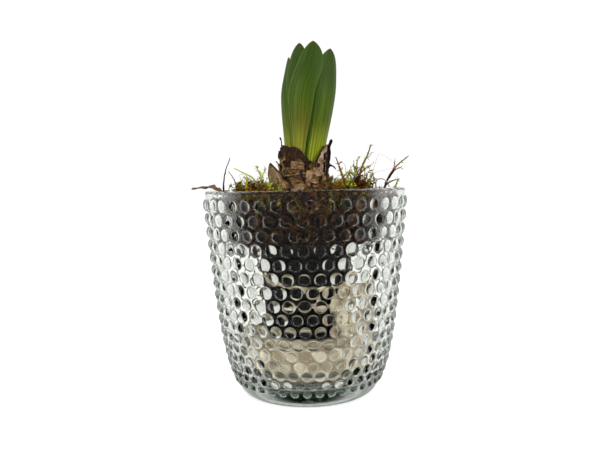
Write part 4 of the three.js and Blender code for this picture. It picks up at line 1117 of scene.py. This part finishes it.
# Single sprigs and threads that stand out above the rim: points, thickness, tone, pale share, leaflets
standouts = (
    (((-31, -15, 141), (-34.7, -15, 146.6), (-41, -15, 150), (-46.6, -15, 153)), 0.62, 0.86, 0, 0),
    (((-28.2, -17, 139), (-28.6, -17, 147), (-30.5, -17, 151.5), (-31.4, -17, 153.2)), 0.4, 0.9, 0, 9),
    (((-28.4, -17, 145), (-27, -17, 149), (-25.6, -17, 152)), 0.35, 0.9, 0, 7),
    (((-38, -18, 136), (-38.4, -18, 141), (-37.8, -18, 147)), 1.0, 0.84, 0, 4),
    (((-43, -14, 136), (-39, -14, 139.5), (-34, -14, 142.4), (-31, -14, 143)), 0.85, 0.3, 0, 5),
    (((-34, -14.5, 142), (-36.6, -14.5, 145.4), (-41, -14.5, 146.3)), 0.3, 0.36, 0.2, 0),
    (((-53, -12, 134), (-50.6, -12, 139.2), (-48.4, -12, 142)), 0.35, 0.72, 0, 6),
    (((31, -22, 139), (33.4, -22, 149), (34.4, -22, 155), (36.2, -22, 158.6)), 0.5, 0.8, 0, 3),
    (((27, -22, 146), (26.6, -22, 152.6), (24.4, -22, 155.2)), 0.22, 0.5, 0.55, 0),
    (((24.6, -22, 155.3), (23.4, -22, 154.8), (22.4, -22, 153.4)), 0.55, 0.3, 0.1, 0),
    (((44.6, -16, 147.5), (46.6, -16, 153), (48.4, -16, 158.6), (50.2, -16, 160.2), (54, -16, 158),
      (57.8, -16, 155.4)), 0.2, 0.5, 0.9, 0),
    (((44.6, -16, 147.5), (52, -16, 149.2), (60, -16, 151)), 0.17, 0.5, 0.9, 0),
    (((47.6, -18, 136), (46.6, -18, 141), (48.4, -18, 143.6), (52, -18, 143.4), (54.6, -18, 141.2)),
     0.62, 0.5, 0.45, 0),
    (((40, -20, 137), (43, -20, 143), (44.4, -20, 147.6)), 0.5, 0.78, 0, 14),
    (((38, -18, 138), (39.6, -18, 146), (39.2, -18, 152)), 0.35, 0.84, 0, 12),
    (((59.5, -8, 136), (61.5, -8, 139.6), (63, -8, 143.5)), 0.85, 0.8, 0, 4),
    (((30, -24, 138), (34, -24, 144.6), (38, -24, 146.4)), 0.75, 0.05, 0, 2),
    (((24, -23, 139), (25, -23, 145), (29.6, -23, 148.6), (32.4, -23, 147)), 0.5, 0.88, 0, 12),
    (((36, -17, 138), (42, -17, 139.6), (47, -17, 141.8)), 0.5, 0.1, 0, 0),
    (((52.6, -17, 141), (54.4, -17, 140.6), (55.8, -17, 138.4)), 0.5, 0.06, 0.1, 0),
)


def addHeap(shape, n):  # a clump's lumpy body, between the bulb, the glass and the next clumps
    look = mossLook
    span = np.linspace(0, 1, look["alongRows"])[:, None]
    sides = np.linspace(0, 1, look["wallRows"] + 2)[1:-1]

    def loopPart(reach, height):
        start = mossParting(n, reach) + look["parting"] / 2 / reach
        end = mossParting(n + 1, reach) - look["parting"] / 2 / reach
        angle = mix(start, end, span)
        z = height(angle, reach)
        return np.minimum(reach, innerRadius(z) - look["edge"]), angle, z

    upper = [loopPart(reach, lambda a, r: mossTop(a, r) - look["lowered"]) for reach in look["reaches"]]
    lower = [loopPart(reach, lambda a, r: mossUnderside(a, r) + 0.4) for reach in look["reaches"]]
    (_, angle, high), (_, _, low) = upper[-1], lower[-1]
    wall = [(innerRadius(mix(high, low, side)) - look["edge"], angle, mix(high, low, side)) for side in sides]
    loop = np.stack([polar(r, a, z)[:, 0] for r, a, z in upper + wall + lower[::-1]], axis=1)
    lumps = softNoise(loop, 6, 310 + n) * 1.3 + softNoise(loop, 2.6, 320 + n) * 0.7
    centre = loop.mean(axis=1, keepdims=True)
    loop = keepClear(loop + unit(centre - loop) * (0.6 + lumps)[..., None] * 0.8)
    shape.body(loop, tone=np.clip(0.07 + 0.09 * softNoise(loop, 9, 330 + n), 0, 1))


def spotsIn(n, rng, count, nearest, furthest):  # radii and angles strewn over a clump
    r = mix(nearest, furthest, rng.uniform(0, 1, count) ** 0.7)
    angle = mix(mossParting(n, r) + 1.5 / r, mossParting(n + 1, r) - 1.5 / r, rng.uniform(0, 1, count))
    return r, angle


def behindGlass(n, rng, count, low, high, deepest, lift):  # roots close to the glass, and aims along it
    _, angle = spotsIn(n, rng, count, *mossLook["behindGlass"])
    height = rng.uniform(low, high, count)
    roots = polar(innerRadius(height) - rng.uniform(0.6, deepest, count), angle, height)
    turn = rng.uniform(0, turnAll, count)
    aims = polar(0, 0, np.sin(turn) + lift(height)) + polar(1, angle + math.pi / 2, 0) * np.cos(turn)[:, None]
    return roots, aims, height


def addTopSprigs(shape, n, rng):  # taller and paler where the light reaches them
    look, count = mossLook, mossLook["heapSprigs"]
    r, angle = spotsIn(n, rng, count, 23, 60)
    roots = polar(r, angle, mossTop(angle, r) - look["lowered"] - 1.5)
    aside = np.abs(r * np.cos(angle))
    tall = smooth(aside, 13, 21) * (1 - smooth(r, 38, 50)) * rng.uniform(0.6, 1.0, count)
    aims = rng.normal(size=(count, 3)) * (0.62, 0.62, 0.25) + polar(0, 0, 0.8 * mix(0.2, 1, tall))
    lengths = mix(3.4, 9.0, tall) * rng.uniform(0.6, 1.35, count)
    isGreen = rng.uniform(0, 1, count) < look["greenShare"]
    tone = np.where(isGreen, rng.normal(0.84, 0.09, count), rng.normal(0.3, 0.12, count))
    tone = tone - 0.24 * smooth(r, 42, 50)
    leafSize = mix(1.9, 3.0, tall) * rng.uniform(0.8, 1.3, count)
    addSprigs(shape, rng, roots, aims, lengths, tone, leafSize, thick=0.25)


def addWallSprigs(shape, n, rng):
    count = mossLook["wallSprigs"]
    roots, aims, height = behindGlass(  # none grows up past the rim
        n, rng, count, 102, 135.5, 3.0, lambda z: 0.35 - 1.7 * smooth(z, 122, 134))
    tone = mix(0.14, 0.62, smooth(height, 112, 134)) + rng.normal(0, 0.15, count)
    addSprigs(shape, rng, roots, aims, rng.uniform(5, 11, count), np.clip(tone, 0.02, 0.84),
              rng.uniform(1.2, 2.2, count), bend=0.3)


def addBareStrands(shape, n, rng):  # behind the glass, then strewn on top
    look, count = mossLook, mossLook["strands"]
    roots, aims, _ = behindGlass(
        n, rng, count, 101, 136.5, 2.4, lambda z: 1.6 * (1 - smooth(z, 101, 116)) - 1.8 * smooth(z, 108, 130))
    tone = rng.choice(look["bareTones"], count)
    addStrands(shape, rng, roots, aims, rng.uniform(6, 14, count), rng.uniform(0.2, 0.5, count), tone)
    count = count // 4
    r, angle = spotsIn(n, rng, count, 24, 56)
    roots = polar(r, angle, mossTop(angle, r) - look["lowered"])
    aims = rng.normal(size=(count, 3)) * (1, 1, 0.12)
    tone = rng.choice(look["litterTones"], count)
    addStrands(shape, rng, roots, aims, rng.uniform(4, 9, count), rng.uniform(0.2, 0.5, count), tone)


def addTuft(shape, rng, x, y, count, length, tone):
    roots = np.array((x, y, 135.0)) + rng.normal(size=(count, 3)) * (2.2, 2.2, 0.6)
    aims = rng.normal(size=(count, 3)) * (0.34, 0.34, 0.1) + np.array((0, 0, 1))
    tone = np.where(rng.uniform(0, 1, count) < 0.4, 0.36, tone) + rng.normal(0, 0.08, count)
    addSprigs(shape, rng, roots, aims, length * rng.uniform(0.65, 1.15, count), tone,
              rng.uniform(3.6, 5.4, count), bend=0.25, thick=0.4, leaflets=9)


def addLeavesOn(shape, rng, spine, count, tone):  # leaflets along one curve, denser towards its end
    place = np.sort(rng.uniform(0, 1, count) ** 0.6) * (len(spine) - 1.01)
    n = place.astype(int)
    bases = mix(spine[n], spine[n + 1], (place % 1)[:, None])
    tangents = unit(spine[n + 1] - spine[n])
    radial = unit(rng.normal(size=(count, 3)))
    addLeaflets(shape, bases, tangents * 0.7 + radial * 0.9, tangents, rng.uniform(1.8, 3.0, count),
                rng.uniform(0.7, 1.1, count), tone=np.clip(tone + rng.normal(0, 0.06, count), 0, 1))


def addStandout(shape, rng, points, thick, tone, pale, leaflets):
    spine = curveThrough(points, 14)
    share = np.linspace(0, 1, 14)
    addTubes(shape, spine, thick * (1 - 0.5 * share) * (1 + 0.12 * np.sin(share * 23)), 6,
             tone=tone - 0.08 + 0.08 * share, pale=pale)
    if leaflets:
        addLeavesOn(shape, rng, spine, leaflets * 3, tone)


def mossClump(n, finish):
    rng = np.random.default_rng(300 + n)
    shape = Shape("tone", "pale")
    addHeap(shape, n)
    addTopSprigs(shape, n, rng)
    addWallSprigs(shape, n, rng)
    addBareStrands(shape, n, rng)
    for x, y, *tuft in tufts:
        if clumpAt(x, y) == n:
            addTuft(shape, rng, x, y, *tuft)
    for points, *standout in standouts:
        if clumpAt(*points[0][:2]) == n:
            addStandout(shape, rng, points, *standout)
    return piece(f"mossClump{n + 1}", shape, finish, "moss", f"moss_clump_{n + 1}")


mossAndStems = mossFinish()
for n in range(mossLook["clumps"]):
    mossClump(n, mossAndStems)
print("moss made")


# Bare stems: branches as points with a thickness, then tones at the foot and the tip, and leaflets

stems = {
    "stemRight": ("stem_right", 0.1, 0.46, 9, (
        (((50, -8, 126), (53, -9, 136), (57, -10, 146), (62.5, -11, 153), (69.5, -12, 158.5)), 1.05),
        (((56, -10, 144), (60.5, -11.5, 149.5), (65, -12, 151.5)), 0.6),
        (((54, -9.3, 139.5), (58.5, -8, 142), (62.5, -7, 143)), 0.65),
        (((59.5, -10.4, 149.5), (60.5, -9, 154), (61, -8, 157.5)), 0.4))),
    "stemTall": ("stem_tall", 0.42, 0.62, 12, (
        (((34, -20, 127), (35, -20.5, 138), (37, -21, 150), (41, -22, 159), (43.5, -22.5, 166)), 1.15),
        (((35.6, -20.7, 143), (32.8, -21.5, 149), (32.3, -22, 156)), 0.5),
        (((36.4, -20.9, 147.5), (40, -22.5, 151), (44.5, -23.5, 153.5)), 0.5),
        (((39.4, -21.6, 156.5), (42.5, -20.5, 158.5), (44.5, -20, 161.5)), 0.35))),
    "stemInner": ("stem_inner", 0.26, 0.46, 6, (
        (((27.5, -24.5, 130), (26.2, -25.5, 141), (22.6, -26.5, 152), (20.4, -27, 158)), 1.0),
        (((25.5, -25.7, 143), (28.5, -27, 147.5), (30, -28, 153)), 0.45))),
    "stemLeft": ("stem_left", 0.12, 0.2, 0, (
        (((-53, -13, 128), (-54, -13, 139), (-52.6, -13.5, 150), (-48.8, -14, 160)), 0.72),)),
    "stemLeftShort": ("stem_left_short", 0.24, 0.3, 0, (
        (((-43, -16, 128), (-44.6, -16.5, 138.5), (-46.4, -17, 145.5), (-50, -17.5, 151)), 0.62),)),
    "stemBack": ("stem_back", 0.3, 0.5, 8, (
        (((-12, 44, 127), (-14, 46, 139), (-18, 48, 150), (-20, 49, 157)), 1.0),
        (((-15.4, 46.7, 143), (-12, 49, 148), (-10, 50.5, 152)), 0.5))),
}


def dryStem(name, finish):
    node, footTone, tipTone, leaflets, branches = stems[name]
    rng = np.random.default_rng(sum(map(ord, name)))
    shape = Shape("tone", "pale")
    for k, (points, thick) in enumerate(branches):
        count = 40 if k == 0 else 18  # the first branch is the stem itself
        spine = curveThrough(points, count)
        share = np.linspace(0, 1, count)
        spine[1:-1] += rng.normal(size=(count - 2, 3)) * 0.07
        knots = 1 + 0.25 * np.maximum(0, np.sin(share * count * 0.55 + k)) ** 4
        knots = knots + rng.uniform(-0.08, 0.08, count)
        addTubes(shape, spine, thick * mix(1.0, 0.28, share) * knots, 8, tone=mix(footTone, tipTone, share))
        if leaflets:
            addLeavesOn(shape, rng, spine, leaflets if k == 0 else leaflets // 3, 0.72)
    return piece(name, shape, finish, "stem", node)


for name in stems:
    dryStem(name, mossAndStems)


# Withered leaf over the rim

dryLeafLook = {
    "spine": ((-50, -5.5, 136.2), (-55, -5.2, 136.8), (-59, -5, 138.4), (-63, -4.6, 140.3),
              (-67.5, -4.2, 139.8), (-72, -3.6, 140.3), (-77, -3, 139.5)),
    "half": 1.8, "thick": 0.56, "jagged": 0.75, "roll": 0.5,
    "color": (0.11, 0.05, 0.013), "dark": (0.015, 0.007, 0.004), "pale": (0.32, 0.18, 0.055),
}


def witheredLeaf():
    look = dryLeafLook
    rows, columns = 60, 13
    spine = curveThrough(look["spine"], rows)
    t, u = np.linspace(0, 1, rows)[:, None], np.linspace(1, -1, columns)[None, :]
    jagged = 1 + look["jagged"] * softNoise(spots(t[:, 0] * 40, 0, 0), 6, 71)[:, None]
    half = (0.3 + look["half"] * np.sin(math.pi * t**0.85) * (1 - 0.6 * smooth(t, 0.62, 0.85))) * jagged
    roll = look["roll"] * np.sin(5 * t)
    curl = 0.45 * u**2 * half + 0.35 * softNoise(spots(t * 30, u * 4, 0), 5, 72)
    side = np.concatenate([0.12 + 0 * t, np.cos(roll), np.sin(roll)], axis=1)[:, None]
    up = np.concatenate([0 * t, -np.sin(roll), np.cos(roll)], axis=1)[:, None]
    middle = spine[:, None] - side * (u * half)[..., None] + up * curl[..., None]
    skin = up * look["thick"] / 2
    shape = Shape("along", "across")
    addSlab(shape, middle + skin, middle - skin, along=t, across=u)
    finish, tree, shader = newFinish("witheredLeaf", Roughness=0.8)
    across, along = markNode(tree, "across"), markNode(tree, "along")
    line = useGroup(tree, streaks, Across=across, Along=along, Count=3.5, Length=9.0)["Line"]
    color = rampNode(tree, line, (0.34, look["dark"]), (0.5, look["color"]), (0.7, look["pale"]))
    dirt = useGroup(tree, mottle, Color=color, Vector=placeNode(tree), Patch=300.0, Speck=1400.0, Depth=0.6)
    dress(tree, shader, dirt["Color"], line, 0.5, 0.4)
    return piece("witheredLeaf", shape, finish, "dry_leaf", "dry_leaf", weld=0.0)


witheredLeaf()
print("stems and litter made")


# Floor and light

studioLook = {
    "floorHalf": 4, "floorAt": -0.0004, "floorColor": (0.72, 0.72, 0.72), "floorGlow": 0.55,  # metres
    "around": 1.03, "front": 0.85, "frontThrough": 0.5, "frontCone": (0.3, 0.56), "wider": -0.22,
    "softboxes": (  # direction, how narrow it is, glow
        ((0, -0.45, 0.9), 0.92, 1.5), ((0.8, -0.6, 0.2), 0.92, 5.6), ((-0.8, -0.6, 0.2), 0.92, 5.6)),
    "ring": 4.5, "ringAt": 0.1, "ringFade": (0.1, 0.36),
}


def paleFloor():
    look = studioLook
    corners = [(x * look["floorHalf"], y * look["floorHalf"], look["floorAt"])
               for x, y in ((-1, -1), (1, -1), (1, 1), (-1, 1))]
    plane = bpy.data.meshes.new("floor")
    plane.from_pydata(corners, [], [(0, 1, 2, 3)])
    floor = bpy.data.objects.new("floor", plane)
    bpy.context.scene.collection.objects.link(floor)
    finish, tree, shader = newFinish(
        "paleFloor", look["floorColor"], Roughness=0.9, Emission_Strength=look["floorGlow"])
    seen = tree.nodes.new("ShaderNodeLightPath").outputs["Is Camera Ray"]
    wire(tree, seen, shader.inputs["Emission Color"])
    plane.materials.append(finish)
    floor.visible_glossy = False  # keeps a pale floor out of what the glass mirrors


def studioWorld():
    look = studioLook
    world = bpy.data.worlds.new("studio")
    bpy.context.scene.world = world
    world.use_nodes = True
    tree = world.node_tree
    aim = tree.nodes.new("ShaderNodeTexCoord").outputs["Generated"]

    def nearTo(direction):  # 1 where the world is seen in this direction, falling to -1 behind
        node = tree.nodes.new("ShaderNodeVectorMath")
        node.operation = "DOT_PRODUCT"
        wire(tree, aim, node.inputs[0])
        node.inputs[1].default_value = tuple(unit(np.array(direction, float)))
        return node.outputs["Value"]

    rays = tree.nodes.new("ShaderNodeLightPath").outputs
    lighting = mathNode(tree, "GREATER_THAN", rays["Diffuse Depth"], 0.5)  # light that reaches a matt surface
    sharp = mathNode(tree, "MULTIPLY", rays["Is Singular Ray"], mathNode(tree, "SUBTRACT", 1.0, lighting))
    outside = mathNode(tree, "MULTIPLY", sharp, mathNode(tree, "LESS_THAN", rays["Transmission Depth"], 0.5))
    # The front is dim through the glass and black in its outer face, so that the glass shows what is in it
    dim = mathNode(tree, "MULTIPLY_ADD", sharp, look["frontThrough"] - look["front"], look["front"])
    dim = mathNode(tree, "MULTIPLY", dim, mathNode(tree, "SUBTRACT", 1.0, outside))
    cone = [mathNode(tree, "MULTIPLY_ADD", outside, look["wider"], edge) for edge in look["frontCone"]]
    front = tree.nodes.new("ShaderNodeMapRange")
    for value, socket in zip((nearTo((0, -1, -0.05)), *cone, look["around"], dim), front.inputs):
        wire(tree, value, socket)
    # A bright ring round the sides brings out the rims of the hobnails, in the outer face only
    beside = mathNode(tree, "ABSOLUTE", mathNode(tree, "ADD", nearTo((0, -1, 0)), look["ringAt"]))
    near, far = look["ringFade"]
    ring = mathNode(tree, "MULTIPLY", rampNode(tree, beside, (near, 1.0), (far, 0.0)), look["ring"])
    strength = mathNode(tree, "MULTIPLY_ADD", ring, outside, front.outputs[0])
    # The softboxes light matt surfaces and don't show in the glass
    unmirrored = mathNode(tree, "SUBTRACT", 1.0, sharp)
    for direction, size, glow in look["softboxes"]:
        box = mathNode(tree, "GREATER_THAN", nearTo(direction), size)
        strength = mathNode(tree, "MULTIPLY_ADD", box, mathNode(tree, "MULTIPLY", unmirrored, glow), strength)
    strength = mathNode(tree, "MAXIMUM", strength, rays["Is Camera Ray"])
    wire(tree, strength, tree.nodes["Background"].inputs["Strength"])
    tree.nodes["Background"].inputs["Color"].default_value = (1, 1, 1, 1)
    bpy.context.scene.view_settings.view_transform = "Standard"


paleFloor()
studioWorld()
print("studio made")
